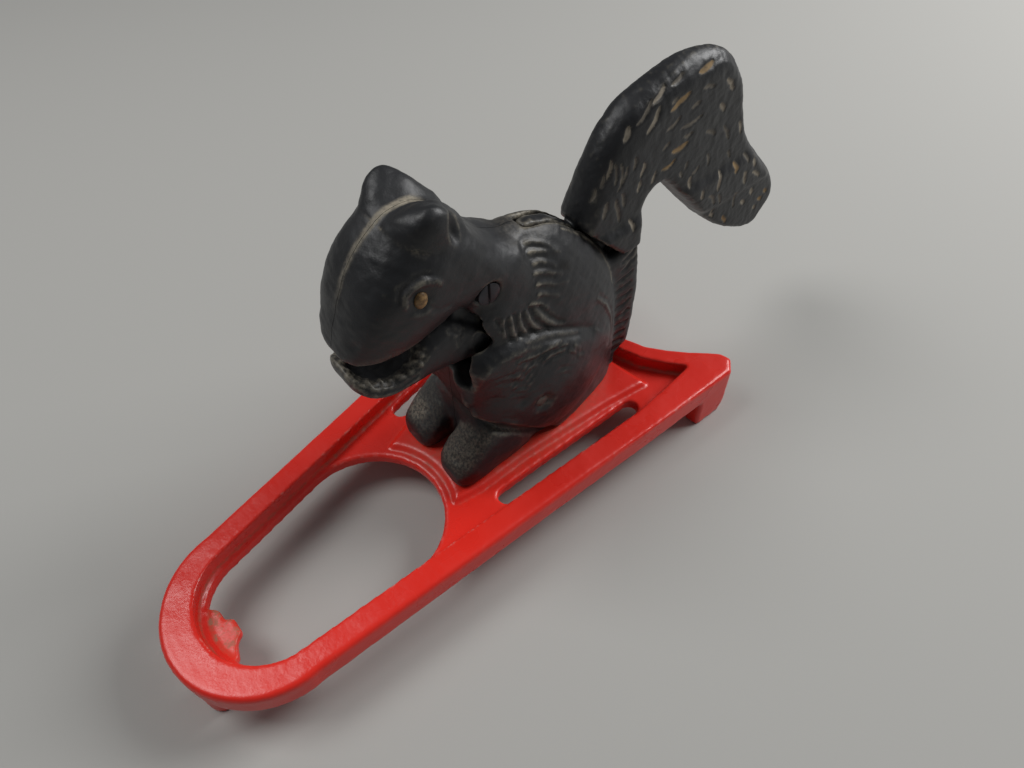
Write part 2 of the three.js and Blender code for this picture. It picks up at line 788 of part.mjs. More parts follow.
// Space under the tail's root, down from a little over the seat, which gives the root its sharp flat foot
function rootCut() {
  const [front, rear] = seatLine(clearance);
  const slope = (rear[1] - front[1]) / (rear[0] - front[0]);
  const aheadX = front[0] - 2 * tailRootSpare;
  const behindX = tailNotchX + clearance;
  return slab([
    [aheadX, rear[1] - overrun],
    [behindX, rear[1] - overrun],
    [behindX, rear[1]],
    rear,
    [aheadX, front[1] + slope * (aheadX - front[0])],
  ], -overrun, overrun);
}

// The tail narrows in thickness from its root to its tip
function tailPlate() {
  const shape = new THREE.Shape(tailOutline().map(([x, z]) => new THREE.Vector2(x, z)));
  const geometry = new THREE.ExtrudeGeometry(shape, {
    depth: 2 * (tailHalfWidth - tailRounding),
    bevelEnabled: true,
    bevelThickness: tailRounding,
    bevelSize: tailRounding,
    bevelOffset: -tailRounding,
    bevelSegments: 3,
  });
  geometry.translate(0, 0, tailRounding - tailHalfWidth);
  geometry.rotateX(Math.PI / 2);
  const position = geometry.attributes.position;
  for (let index = 0; index < position.count; index += 1) {
    const along = THREE.MathUtils.clamp((position.getX(index) - tailRootX) / tailReach, 0, 1);
    const narrowing = THREE.MathUtils.lerp(1, tailTipHalfWidth / tailHalfWidth, along);
    position.setY(index, position.getY(index) * narrowing);
  }
  return solidOf(geometry).subtract(rootCut());
}

// The arm in the back: its crest lies close under the back's ridge and fills the slot while the tail is down
function leverArm() {
  const seat = seatLine(clearance);
  const crest = torsoShares
    .map(([along, , high]) => [torsoFrontX + torsoLength * along, torsoHeight * high - armCrestDepth])
    .filter(([x]) => x > pivotX + armCrestReach && x < seatFrontX - runningGap)
    .reverse();
  const points = [
    [pivotX, pivotHeight - hubRadius / 2],
    [armBendX, armBendHeight],
    [armBottomX, armBottom],
    [seatRearX - castingWall, armBottom],
    [seat[1][0] - clearance * 4, seat[1][1] + tailRounding * 2],
    [seat[0][0] + tailRounding, seat[0][1] + tailRounding],
    [seat[0][0] + clearance, seat[0][1]],
    ...crest,
    ...crestFace(armCrestReach, armCrestTopAngle, armCrestFootAngle),
    [pivotX, pivotHeight + armTopAtHub],
  ];
  return slab(points, -armHalfWidth, armHalfWidth);
}

function lowerJaw() {
  const place = {
    frontX: headFrontX, floor: jawBottom, length: jawLength, height: jawHeight, halfWidth: jawHalfWidth,
  };
  const trough = ellipsoid([troughX, 0, troughHeight], [troughLength, troughHalfWidth, troughDepth]);
  const nearCheek = crossBar(hubRadius + clearance, pivotX, pivotHeight, -overrun, -hubHalfWidth);
  const farCheek = crossBar(hubRadius + clearance, pivotX, pivotHeight, hubHalfWidth, overrun);
  return sectionLoft(sectionsFrom(jawShares, place), 20, jawSquareness)
    .subtract(trough)
    .subtract(nearCheek)
    .subtract(farCheek);
}

function lever() {
  const hub = crossBar(hubRadius, pivotX, pivotHeight, -hubHalfWidth, hubHalfWidth);
  const neck = slab([
    [pivotX, pivotHeight],
    [pivotX - hubRadius, pivotHeight - hubRadius / 2],
    [pivotX - hubRadius, jawBottom + jawHeight / 2],
    [pivotX, jawBottom + jawHeight / 2],
  ], -hubHalfWidth, hubHalfWidth);
  return joinAll([lowerJaw(), hub, neck, leverArm(), tailPlate()])
    .subtract(crossBar(screwShankRadius + clearance, pivotX, pivotHeight, -overrun, overrun));
}

// Fasteners

function pivotScrew() {
  const tip = screwSpotFace + nutHeight + screwEnd;
  const seatY = -screwSpotFace + screwHeadHeight - clearance;
  const shank = crossBar(screwShankRadius, pivotX, pivotHeight, seatY - screwHeadHeight / 2, tip);
  const headTop = seatY - screwHeadHeight;
  const screwHead = crossBar(screwHeadRadius, pivotX, pivotHeight, headTop, seatY);
  const slot = blockBetween(
    [pivotX - screwSlotWidth / 2, headTop - overrun, pivotHeight - overrun],
    [pivotX + screwSlotWidth / 2, headTop + screwSlotDepth, pivotHeight + overrun],
  );
  return shank.add(screwHead).subtract(slot);
}

function pivotNut() {
  const low = screwSpotFace + clearance;
  return crossBar(nutAcrossFlats / Math.sqrt(3), pivotX, pivotHeight, low, low + nutHeight, 6)
    .subtract(crossBar(screwShankRadius + clearance, pivotX, pivotHeight, -overrun, overrun));
}

function domedBar(radius, x, z, from, to) {
  const bar = crossBar(radius, x, z, from - rivetHeadHeight / 2, to + rivetHeadHeight / 2);
  const headAt = (y) => ellipsoid([x, y, z], [rivetHeadRadius, rivetHeadHeight, rivetHeadRadius], 0, 12, 8);
  const outward = blockBetween([x - overrun, from, z - overrun], [x + overrun, to, z + overrun]);
  return bar.add(headAt(from).subtract(outward)).add(headAt(to).subtract(outward));
}

function thighRivet() {
  const reach = haunchSpread + haunchBulge + clearance;
  return domedBar(rivetRadius, rivetX, rivetHeight, -reach, reach);
}

function baseScrew() {
  const washerLow = -(platformTop - floorUnderside) - clearance - washerThickness;
  const seatZ = washerLow - clearance;
  const tip = trappedNutFloor + trappedNutHeight;
  const shank = post(baseScrewRadius, 0, 0, seatZ - baseScrewHeadHeight / 2, tip);
  const screwHead = post(baseScrewHeadRadius, 0, 0, seatZ - baseScrewHeadHeight, seatZ);
  const slot = blockBetween(
    [-overrun, -screwSlotWidth / 2, seatZ - baseScrewHeadHeight - overrun],
    [overrun, screwSlotWidth / 2, seatZ - baseScrewHeadHeight + screwSlotDepth],
  );
  return shank.add(screwHead).subtract(slot);
}

function baseWasher() {
  const top = -(platformTop - floorUnderside) - clearance;
  return post(washerRadius, 0, 0, top - washerThickness, top)
    .subtract(post(baseScrewRadius + clearance, 0, 0, -overrun, overrun));
}

function trappedNut() {
  return squareNut(trappedNutAcrossFlats, trappedNutFloor, trappedNutFloor + trappedNutHeight)
    .subtract(post(baseScrewRadius + clearance, 0, 0, -overrun, overrun));
}

// Assembly

const shell = bodyShell();
const figure = new THREE.Group();
figure.position.set(figureX, figureY, platformTop);
figure.rotation.z = -figureTwist * radians;
figure.add(
  meshOf('left_body_half', bodyHalf(shell, -1), ironBlack),
  meshOf('right_body_half', bodyHalf(shell, 1), ironBlack),
  meshOf('tail_jaw_lever', lever(), ironBlack),
  meshOf('pivot_screw', pivotScrew(), steel),
  meshOf('pivot_nut', pivotNut(), steel),
  meshOf('thigh_rivet', thighRivet(), ironBlack),
  meshOf('base_screw', baseScrew(), steel),
  meshOf('base_washer', baseWasher(), steel),
  meshOf('trapped_nut', trappedNut(), steel),
);

const nutcracker = new THREE.Group();
nutcracker.add(meshOf('base_casting', baseCasting(), enamelRed), figure);

// The origin is under the middle of the whole object's box, on the table
nutcracker.updateMatrixWorld(true);
const box = new THREE.Box3().setFromObject(nutcracker, true);
const middle = box.getCenter(new THREE.Vector3());
nutcracker.position.set(-middle.x, -middle.y, -box.min.z);
nutcracker.updateMatrixWorld(true);

export default nutcracker;
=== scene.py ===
"""Looks of the lever nutcracker press: a black cast-iron squirrel on a red enamelled base.

The castings are re-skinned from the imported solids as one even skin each, run smooth as sand-cast
metal is, and then carved: fur, fringe, brow, ear, jaw grain and the painted cuts of the tail.
"""
import json
import math

import bmesh
import bpy
import numpy as np
from mathutils import Matrix, Vector


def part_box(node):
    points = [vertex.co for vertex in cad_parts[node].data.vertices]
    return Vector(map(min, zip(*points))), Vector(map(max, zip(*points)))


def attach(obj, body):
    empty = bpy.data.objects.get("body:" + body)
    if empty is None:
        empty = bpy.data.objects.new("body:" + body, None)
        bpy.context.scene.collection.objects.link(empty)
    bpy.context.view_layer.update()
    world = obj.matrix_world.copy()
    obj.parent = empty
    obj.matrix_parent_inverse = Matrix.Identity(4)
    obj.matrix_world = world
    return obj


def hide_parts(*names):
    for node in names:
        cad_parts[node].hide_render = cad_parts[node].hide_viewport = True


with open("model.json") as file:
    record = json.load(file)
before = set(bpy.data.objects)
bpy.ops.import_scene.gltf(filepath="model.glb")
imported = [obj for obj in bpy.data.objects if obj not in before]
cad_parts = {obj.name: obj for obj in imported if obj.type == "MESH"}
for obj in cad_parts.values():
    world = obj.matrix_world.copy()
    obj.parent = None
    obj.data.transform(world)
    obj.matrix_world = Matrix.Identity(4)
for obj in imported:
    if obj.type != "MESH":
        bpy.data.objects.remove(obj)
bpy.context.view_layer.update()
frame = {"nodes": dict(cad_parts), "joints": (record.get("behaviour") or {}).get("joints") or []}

MM = 0.001
scene = bpy.context.scene

# Camera

CAMERA_TARGET = (24.71, 16.37, 0.0)
CAMERA_DISTANCE = 323.8
CAMERA_AZIMUTH = -45.13
CAMERA_ELEVATION = 49.91
CAMERA_ROLL = -1.756
LENS = 25.52


def make_camera():
    """The photograph's view, from the front left and well above the table."""
    turn, rise = math.radians(CAMERA_AZIMUTH), math.radians(CAMERA_ELEVATION)
    back = Vector((math.sin(turn) * math.cos(rise), -math.cos(turn) * math.cos(rise), math.sin(rise)))
    right = Vector((0, 0, 1)).cross(back).normalized()
    right = Matrix.Rotation(math.radians(CAMERA_ROLL), 3, back) @ right
    up = back.cross(right)
    data = bpy.data.cameras.new("camera")
    data.lens = LENS
    data.sensor_width = 36
    data.clip_start = 0.01
    camera = bpy.data.objects.new("camera", data)
    axes = Matrix((right, up, back)).transposed().to_4x4()
    place = (Vector(CAMERA_TARGET) + back * CAMERA_DISTANCE) * MM
    camera.matrix_world = Matrix.Translation(place) @ axes
    scene.collection.objects.link(camera)
    scene.camera = camera


# The figure's own frame, in millimetres: x towards the tail from the fixing screw, z from the platform

joint = frame["joints"][0]
screw_low, screw_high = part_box("base_screw")
figure_foot = (screw_low + screw_high) / 2
figure_foot.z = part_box("left_body_half")[0].z
figure_turn = math.atan2(joint["axis"][0], -joint["axis"][1])
FIGURE = Matrix.Translation(figure_foot) @ Matrix.Rotation(figure_turn, 4, "Z") @ Matrix.Scale(MM, 4)

# The base's frame, in millimetres: x from the round end, z from the table

base_low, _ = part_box("base_casting")
BASE = Matrix.Translation((base_low.x, 0, 0)) @ Matrix.Scale(MM, 4)


# Mesh tools


def piece_of(work, name):
    """A bmesh's shape as a new piece in the scene."""
    mesh = bpy.data.meshes.new(name)
    work.to_mesh(mesh)
    work.free()
    piece = bpy.data.objects.new(name, mesh)
    scene.collection.objects.link(piece)
    return piece


def merged_copy(nodes, name, into, swell=None):
    """The nodes' meshes as one piece, loose triangles joined, in one of the two frames' millimetres.

    A swell works on the joined meshes before they become a piece.
    """
    work = bmesh.new()
    for node in nodes:
        work.from_mesh(frame["nodes"][node].data)
    bmesh.ops.transform(work, matrix=into.inverted(), verts=work.verts)
    bmesh.ops.remove_doubles(work, verts=work.verts, dist=0.005)
    if swell:
        swell(work)
    return piece_of(work, name)


def apply_modifiers(piece):
    """Turns a piece's modifiers into its mesh."""
    made = bpy.data.meshes.new_from_object(piece.evaluated_get(bpy.context.evaluated_depsgraph_get()))
    piece.modifiers.clear()
    piece.data = made


def shade_smooth(mesh):
    """Shades a mesh as one smooth skin."""
    mesh.polygons.foreach_set("use_smooth", [True] * len(mesh.polygons))


def points_of(mesh):
    """Where a mesh's points are, a row for each."""
    points = np.empty(len(mesh.vertices) * 3)
    mesh.vertices.foreach_get("co", points)
    return points.reshape(-1, 3)


def normals_of(mesh):
    """Which way the skin faces at each point."""
    normals = np.empty(len(mesh.vertices) * 3)
    mesh.vertices.foreach_get("normal", normals)
    return normals.reshape(-1, 3)


def set_points(mesh, points):
    """Moves a mesh's points to new places."""
    mesh.vertices.foreach_set("co", points.ravel())
    mesh.update()


def edges_of(mesh):
    """Which two points each edge joins."""
    edges = np.empty(len(mesh.edges) * 2, dtype=np.int64)
    mesh.edges.foreach_get("vertices", edges)
    return edges.reshape(-1, 2)


def spread(values, edges, rounds, share=0.8):
    """Runs values over a mesh towards the mean of their neighbours."""
    values = values.copy()
    count = len(values)
    degree = np.bincount(edges.ravel(), minlength=count).astype(float)
    degree[degree == 0] = 1
    first, second = edges[:, 0], edges[:, 1]
    columns = values.reshape(count, -1)
    for _ in range(rounds):
        for axis in range(columns.shape[1]):
            column = columns[:, axis]
            total = np.bincount(first, column[second], count) + np.bincount(second, column[first], count)
            columns[:, axis] += (total / degree - column) * share
    return values


def run_smooth(points, edges, rounds, share):
    """Rounds off facets and sharp corners, then gives back the size that this took."""
    smooth = spread(points, edges, rounds, share)
    return smooth + spread(points - smooth, edges, rounds, share)


def cast_skin(nodes, name, into, grain, rounds, swell=None, hold=None):
    """An even skin over the nodes' solids, smoothed as a sand casting is.

    A swell grows forms into the solids first, and hold says how far each point is kept from smoothing.
    """
    piece = merged_copy(nodes, name, into, swell)
    skin = piece.modifiers.new("skin", "REMESH")
    skin.mode = "VOXEL"
    skin.voxel_size = grain
    apply_modifiers(piece)
    mesh = piece.data
    points = points_of(mesh)
    share = 0.8 if hold is None else 0.8 * (1 - hold(points))
    set_points(mesh, run_smooth(points, edges_of(mesh), rounds, share))
    shade_smooth(mesh)
    return piece


def keep_marks(mesh, marks):
    """Keeps how worn, dusty or painted each point is, and where shade or highlight is painted on it, for the
    material to read.
    """
    for name, values in marks.items():
        layer = mesh.attributes.new(name, "FLOAT", "POINT")
        layer.data.foreach_set("value", np.clip(values, 0, 1).astype(np.float32))


def finish_piece(piece, into, material, body, nodes):
    """Puts a piece made in a frame's millimetres in its place, gives it its material and body, and hides the
    nodes that it stands for.
    """
    piece.data.transform(into)
    piece.data.update()
    piece.data.materials.clear()
    piece.data.materials.append(material)
    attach(piece, body)
    if nodes:
        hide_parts(*nodes)


# Carving


def ease(value, low, high):
    """From 0 at low to 1 at high along a soft step."""
    share = np.clip((value - low) / (high - low), 0, 1)
    return share * share * (3 - 2 * share)


def ripple(points, size, seed):
    """A smooth random field from about -1 to 1, with waves of about the given size."""
    random = np.random.default_rng(seed)
    field = np.zeros(len(points))
    waves = 14
    for _ in range(waves):
        heading = random.normal(size=3)
        heading /= np.linalg.norm(heading)
        length = size * random.uniform(0.7, 1.6)
        field += np.sin(points @ heading * (2 * math.pi / length) + random.uniform(0, 2 * math.pi))
    return field / math.sqrt(waves)


def surface_point(points, x, z, side):
    """The outermost point of one side of the figure at a place of the side view."""
    near = np.abs(points[:, 0] - x) + np.abs(points[:, 2] - z) < 1.4
    if not near.any():
        return None
    found = points[near]
    return found[np.argmax(found[:, 1] * side)]


def along_line(points, line):
    """Distance of each point from a line of corners, and how far along the line it is, from 0 to 1."""
    line = np.asarray(line, dtype=float)
    lengths = np.linalg.norm(np.diff(line, axis=0), axis=1)
    whole = lengths.sum()
    best = np.full(len(points), 1e9)
    share = np.zeros(len(points))
    done = 0.0
    for start, end, length in zip(line[:-1], line[1:], lengths):
        if length == 0:
            continue
        step = (end - start) / length
        run = np.clip((points - start) @ step, 0, length)
        away = np.linalg.norm(points - start - run[:, None] * step, axis=1)
        closer = away < best
        best[closer] = away[closer]
        share[closer] = (done + run[closer]) / whole
        done += length
    return best, share


def stroke(points, line, width, side=None):
    """How strongly a stroke of the carver's tool touches each point: full on its line, thin at its ends."""
    if side is not None:
        found = [surface_point(points, x, z, side) for x, z in line]
        line = [place for place in found if place is not None]
        if len(line) < 2:
            return np.zeros(len(points))
    line = np.asarray(line, dtype=float)
    reach = 3 * width
    touched = np.all((points > line.min(0) - reach) & (points < line.max(0) + reach), axis=1)
    strength = np.zeros(len(points))
    if touched.any():
        away, share = along_line(points[touched], line)
        taper = np.sqrt(np.clip(4 * share * (1 - share), 0, 1)) * 0.75 + 0.25
        strength[touched] = np.exp(-((away / (width * taper)) ** 2))
    return strength


def bent(start, end, bow, steps=5):
    """A line of side-view corners from start to end, bowed to one side."""
    start, end = np.asarray(start, float), np.asarray(end, float)
    across = np.array([-(end - start)[1], (end - start)[0]])
    shares = np.linspace(0, 1, steps)
    return [tuple(start + (end - start) * share + across * bow * 4 * share * (1 - share)) for share in shares]


def oval(points, centre, half_width, half_height, lean=0.0):
    """How far out each point lies in the side view, 1 on an oval about a centre."""
    angle = math.radians(lean)
    dx, dz = points[:, 0] - centre[0], points[:, 2] - centre[1]
    along = dx * math.cos(angle) + dz * math.sin(angle)
    up = dz * math.cos(angle) - dx * math.sin(angle)
    return np.hypot(along / half_width, up / half_height)


def ring(distance, radius, width):
    """A soft raised ring, 1 where the distance is the radius."""
    return np.exp(-(((distance - radius) / width) ** 2))


def ball(points, centre, radii):
    """How far out each point lies in space, 1 on an egg about a centre."""
    return np.linalg.norm((points - np.array(centre)) / radii, axis=1)


def bend_of(points, normals, edges, rounds):
    """How much the skin bends: above 0 on ridges and edges, below 0 in hollows, about 1 on a tight corner."""
    mean = spread(points, edges, rounds)
    return np.einsum("ij,ij->i", points - mean, normals)


# Squirrel's body: places of the side view, x and z, cut alike on both halves

SEAM_GAP = 0.09
SKIN_GRAIN = 0.62
PIVOT = (-5.5, 82.0)
EYE = (-29.1, 95.2)
CHEEK_CREASE = [(-26.4, 91.6), (-23.4, 88.8), (-19.6, 87.0)]
LOWER_LID = [(-33.4, 92.6), (-30.0, 90.2), (-26.6, 90.4)]
NOSTRIL = (-48.3, 84.5)
THROAT = (-38, 76)
ROUGH_PATCH = (3.0, 43.5)
HAUNCH_DIMPLE = (1.4, 32.8)
CRESTS = [
    ((13.0, 88.2), (18.6, 86.0)), ((13.3, 85.6), (19.4, 83.0)), ((13.5, 82.2), (18.6, 80.2)),
    ((13.1, 79.2), (20.6, 75.7)), ((13.4, 75.3), (19.8, 72.2)), ((12.5, 72.0), (17.0, 70.0)),
    ((9.3, 70.4), (14.0, 67.8)),
]
TUFTS = [
    ((-1.9, 71.4), (-2.6, 63.2)), ((1.2, 70.8), (2.6, 61.0)), ((4.4, 70.2), (8.0, 58.8)),
    ((7.4, 69.2), (12.9, 58.2)), ((11.2, 68.2), (18.8, 56.8)),
]
TUFT_GAPS = [
    ((-3.9, 72.4), (-4.0, 66.2)), ((-0.4, 70.8), (-0.2, 61.6)), ((2.9, 70.6), (5.3, 59.4)),
    ((6.0, 69.6), (10.6, 57.6)), ((9.4, 68.6), (15.8, 56.8)), ((13.4, 68.0), (22.6, 55.8)),
]
HAUNCH_STROKES = [
    [(6.1, 57.2), (13.0, 55.2), (19.4, 52.6), (28.4, 47.6)], [(1.3, 52.4), (9.7, 51.4), (19.4, 50.6)],
    [(5.2, 50.6), (13.8, 50.0), (21.4, 48.2)], [(10.4, 46.4), (13.7, 47.6), (20.6, 46.6)],
    [(21.8, 45.2), (23.6, 43.2), (24.9, 41.2)], [(24.4, 45.8), (26.0, 43.6), (27.4, 41.2)],
]
HAUNCH_LINE = [(41.0, 53.2), (46.5, 46.5), (50.0, 39.0), (51.2, 31.0), (49.0, 24.0), (44.0, 18.0)]
BROW = [(-34.8, 95.6), (-34.3, 99.2), (-31.6, 101.0), (-27.5, 101.8), (-23.7, 100.2), (-21.6, 97.4)]
BROW_SHADOW = [(-36.0, 98.0), (-34.6, 101.4), (-31.3, 103.2), (-28.0, 103.8), (-24.8, 102.6)]
RIVET = (10.0, 27.0)
SEAT_EDGE = [(29.9, 84.3), (38.9, 77.2), (44.6, 71.2), (48.7, 65.5), (51.0, 59.0), (53.5, 49.8)]
THIGH_TOP = [
    (-17.0, 40.0), (-16.5, 49.0), (-15.5, 54.5), (-11.5, 58.8), (-5.0, 60.6), (2.0, 60.0), (10.0, 57.2),
    (19.4, 52.8), (28.4, 47.8), (36.0, 43.0),
]
THIGH_FOOT = [
    (17.0, 0.5), (10.0, 6.5), (4.0, 12.5), (-2.0, 18.4), (-7.0, 22.0), (-11.0, 24.8), (-14.0, 27.0),
    (-17.0, 29.0),
]
THIGH_BACK = [(52, 30), (44, -4), (22, -4)]

# In space, with y outwards: the planes that trim an ear, each by its direction and distance, and the
# forms grown into the skin, each by its centre, radii and the heading of its long axis

EAR_FRONT = ((-0.459, 0.651, 0.604), 90.2)
EAR_REAR = ((0.748, 0.095, 0.657), 65.5)
EAR_FORM = ((-23.8, 8.0, 112.0), (8.8, 5.4, 4.8), (0.67, 0.67, 0.33))
EAR_FILL = ((-17.5, 7.4, 109.6), (7.0, 6.0, 7.2), (1.0, 0.0, 0.0))
NAPE_FORM = ((-14.0, 5.6, 106.4), (8.0, 5.0, 5.8), (1.0, 0.0, -0.4))
THIGH_LIP = ((-8.6, 15.4, 54.0), (6.6, 2.1, 6.4), (1.0, 0.12, 0.0))
EAR_FOOT = [
    (-30.4, 1.8, 111.2), (-29.6, 6.6, 110.6), (-28.8, 9.8, 109.8), (-26.6, 13.6, 108.4),
    (-23.0, 15.6, 106.6), (-19.4, 15.8, 105.6),
]
EAR_CUP = (-14.2, 13.6, 110.0)
FAR_TOE = (-19.0, 14.0, 12.0)


def on_side(place, side):
    """A place or heading in space, turned to one side of the figure."""
    x, y, z = place
    return x, y * side, z


def close_seam(work):
    """Lets the halves overlap a little at the seam, and builds up the ears, nape and thighs."""
    seam_reach, overlap = 0.2, 0.6
    for vert in work.verts:
        if abs(vert.co.y) < seam_reach:
            vert.co.y *= -overlap
    for side in (-1, 1):
        for centre, radii, heading in (EAR_FORM, EAR_FILL, NAPE_FORM, THIGH_LIP):
            swell_form(work, on_side(centre, side), radii, on_side(heading, side))


def swell_form(work, centre, radii, heading):
    """An oval form whose long axis has a heading, to be grown into the skin."""
    made = bmesh.ops.create_uvsphere(work, u_segments=24, v_segments=16, radius=1.0)["verts"]
    bmesh.ops.scale(work, vec=radii, verts=made)
    turn = Vector(heading).to_track_quat("X", "Z").to_matrix()
    bmesh.ops.rotate(work, cent=(0, 0, 0), matrix=turn, verts=made)
    bmesh.ops.translate(work, vec=centre, verts=made)


def held_body(points):
    """The ears and toes keep their form better than the rest."""
    ears = ease(points[:, 2], 104, 110)
    toes = ease(12 - points[:, 2], 0, 6)
    return 0.5 * np.maximum(ears, toes)


def trim_ears(points, edges):
    """Planes the ears to their triangular outline, front and rear, and rounds what the planes leave."""
    high = ease(points[:, 2], 100, 106)
    for side in (-1, 1):
        own = points[:, 1] * side > 0
        for direction, reach in (EAR_FRONT, EAR_REAR):
            plane = np.array(on_side(direction, side))
            beyond = np.clip(points @ plane - reach, 0, None) * high * own
            points = points - plane * beyond[:, None]
    rounds = 52
    return spread(points, edges, rounds, 0.8 * high)


def within(points, outline):
    """Which points lie inside an outline of the side view."""
    x, z = points[:, 0], points[:, 2]
    found = np.zeros(len(points), dtype=bool)
    for (x0, z0), (x1, z1) in zip(outline, outline[1:] + outline[:1]):
        if z0 != z1:
            found ^= ((z0 > z) != (z1 > z)) & (x < (x1 - x0) * (z - z0) / (z1 - z0) + x0)
    return found


def side_distance(points, line):
    """Distance in the side view from a line of places."""
    away, _ = along_line(points * (1, 0, 1), [(x, 0, z) for x, z in line])
    return away


def carve_thigh(points, outward):
    """The thigh stands out over chest and foot, with a furrow along its top and a deep one at the ankle."""
    inside = within(points, THIGH_TOP + THIGH_BACK + THIGH_FOOT)
    top = side_distance(points, THIGH_TOP)
    foot = side_distance(points, THIGH_FOOT)
    facing = ease(outward, 0.0, 0.5) * ease(48 - points[:, 0], 0, 30)
    raised = 2.3 * ease(top, -0.5, 4.5) * ease(foot, -0.5, 3.5)
    lift = np.where(inside, raised, 0.0) * facing
    furrow = 0.9 * np.exp(-((top / 1.6) ** 2)) * ease(points[:, 0], -8, 0)
    ankle = 1.9 * np.exp(-((foot / 1.5) ** 2))
    return lift - np.where(inside, 0.35, 1.0) * furrow * facing - ankle * ease(outward, -0.2, 0.3)


def carve_head(points, outward, side):
    """Eye socket, lids, brow, cheek and nostril."""
    lift = np.zeros(len(points))
    facing = ease(outward, 0.1, 0.5)
    eye = oval(points, EYE, 1.0, 1.25, 12)
    lift -= 0.75 * (1 - ease(eye, 1.8, 4.2)) * facing
    lift += 0.3 * ring(eye, 2.7, 0.5) * facing
    lift += 0.85 * stroke(points, BROW, 1.15, side)
    lift -= 0.6 * stroke(points, BROW_SHADOW, 0.95, side)
    lift -= 0.35 * stroke(points, CHEEK_CREASE, 1.0, side)
    lift += 0.3 * stroke(points, LOWER_LID, 0.9, side)
    nostril = oval(points, NOSTRIL, 1.0, 1.0)
    lift -= 0.4 * np.exp(-((nostril / 1.3) ** 2)) * facing
    return lift


def ear_foot(side):
    """The line where the front of the ear rises from the head."""
    return np.array(EAR_FOOT) * (1, side, 1)


def carve_ear(points, normals, side):
    """The dent round the ear's foot and the dark cup behind it."""
    lift = -0.6 * stroke(points, ear_foot(side), 0.9)
    cup = ball(points, on_side(EAR_CUP, side), (2.9, 4.2, 5.2))
    lift -= 2.3 * (1 - ease(cup, 0.35, 1.15)) * ease(normals[:, 0] + 0.6 * normals[:, 1] * side, 0.0, 0.5)
    return lift


def moved_by(line, dx, dz):
    """A line of the side view, moved along."""
    return [(x + dx, z + dz) for x, z in line]


def carve_crests(points, side):
    """The crests of fur over the shoulder, each with a cut under it and a tail that trails off."""
    lift = np.zeros(len(points))
    for index, (start, end) in enumerate(CRESTS):
        lift += 0.5 * stroke(points, bent(start, end, 0.05), 0.65, side)
        cut_start, cut_end = (start[0] - 0.4, start[1] - 1.5), (end[0], end[1] - 1.4)
        lift -= 0.3 * stroke(points, bent(cut_start, cut_end, 0.05), 0.6, side)
        trail = (end[0] + 4.5 + 2.0 * math.sin(index * 1.9), end[1] - 2.8 - 0.7 * math.cos(index))
        lift += 0.3 * stroke(points, bent(end, trail, 0.05), 0.8, side)
    return lift


def carve_fur(points, side):
    """The fringe under the shoulder, the haunch's fur and the strokes on the tail's stub."""
    lift = np.zeros(len(points))
    for start, end in TUFTS:
        lift += 0.5 * stroke(points, bent(start, end, -0.09), 1.2, side)
    for start, end in TUFT_GAPS:
        lift -= 0.85 * stroke(points, bent(start, end, -0.09), 0.8, side)
    for line in HAUNCH_STROKES:
        lift += 0.5 * stroke(points, line, 0.75, side)
        lift -= 0.45 * stroke(points, moved_by(line, 0.6, -1.5), 0.7, side)
    lift += 0.45 * stroke(points, HAUNCH_LINE, 0.7, side)
    lift -= 0.3 * stroke(points, moved_by(HAUNCH_LINE, 1.6, 0.4), 0.8, side)
    faint_strokes = 30
    clear_of_rivet = 9.5
    random = np.random.default_rng(61)
    for _ in range(faint_strokes):
        x, z = random.uniform(-11, 22), random.uniform(34, 55)
        over_thigh = z > 58 - 0.35 * max(x, 0)
        if over_thigh or math.dist((x, z), RIVET) < clear_of_rivet:
            continue
        reach, drop = random.uniform(4, 7), random.uniform(1.2, 2.6)
        lift -= 0.22 * stroke(points, bent((x, z), (x + reach, z - drop), 0.06), 0.5, side)
    stub_rows = 12
    stub_top, stub_drop = 55.5, 50.0
    for row in range(stub_rows):
        share = row / (stub_rows - 1)
        z = stub_top - stub_drop * share
        tilt = 0.5 - 0.95 * share
        x = 56.2 + 1.2 * math.sin(row * 2.1)
        reach = 8.5 + 1.2 * math.sin(row * 1.3)
        lift -= 0.85 * stroke(points, bent((x, z), (x + reach, z + tilt * reach), -0.05), 0.8, side)
    return lift


def carve_half(points, normals, side):
    """All the carving of one half, with its screw boss, rough patch, dimple and the rivet's seat."""
    outward = normals[:, 1] * side
    lift = carve_head(points, outward, side)
    lift += carve_ear(points, normals, side)
    lift += carve_crests(points, side) + carve_fur(points, side)
    lift += carve_thigh(points, outward)
    boss = oval(points, PIVOT, 1.0, 1.0)
    lift += 0.35 * ring(boss, 5.0, 0.7) * ease(outward, 0.3, 0.7)
    patch = 1 - ease(oval(points, ROUGH_PATCH, 6.5, 7.5), 0.5, 1.2)
    lift += 0.2 * patch * ripple(points, 2.0, 3) * ease(outward, 0.2, 0.6)
    dimple = oval(points, HAUNCH_DIMPLE, 3.0, 2.6)
    lift -= 0.8 * np.exp(-(dimple ** 2)) * ease(outward, 0.2, 0.6)
    spot = oval(points, RIVET, 1.0, 1.0)
    lift -= 0.35 * (1 - ease(spot, 3.4, 5.2)) * ease(outward, 0.3, 0.7)
    return lift


def soften_flank(points, normals, edges):
    """Runs the joins between chest, shoulder and haunch into each other."""
    outward = np.abs(normals[:, 1])
    flank = ease(points[:, 0], -16, -8) * ease(44 - points[:, 0], 0, 8) * ease(outward, 0.25, 0.6)
    flank *= ease(points[:, 2], 30, 40) * ease(88 - points[:, 2], 0, 8)
    ankles = ease(points[:, 2], 10, 16) * ease(34 - points[:, 2], 0, 8) * ease(14 - points[:, 0], 0, 8)
    rounds = 90
    return spread(points, edges, rounds, 0.8 * np.maximum(flank, 0.25 * ankles))


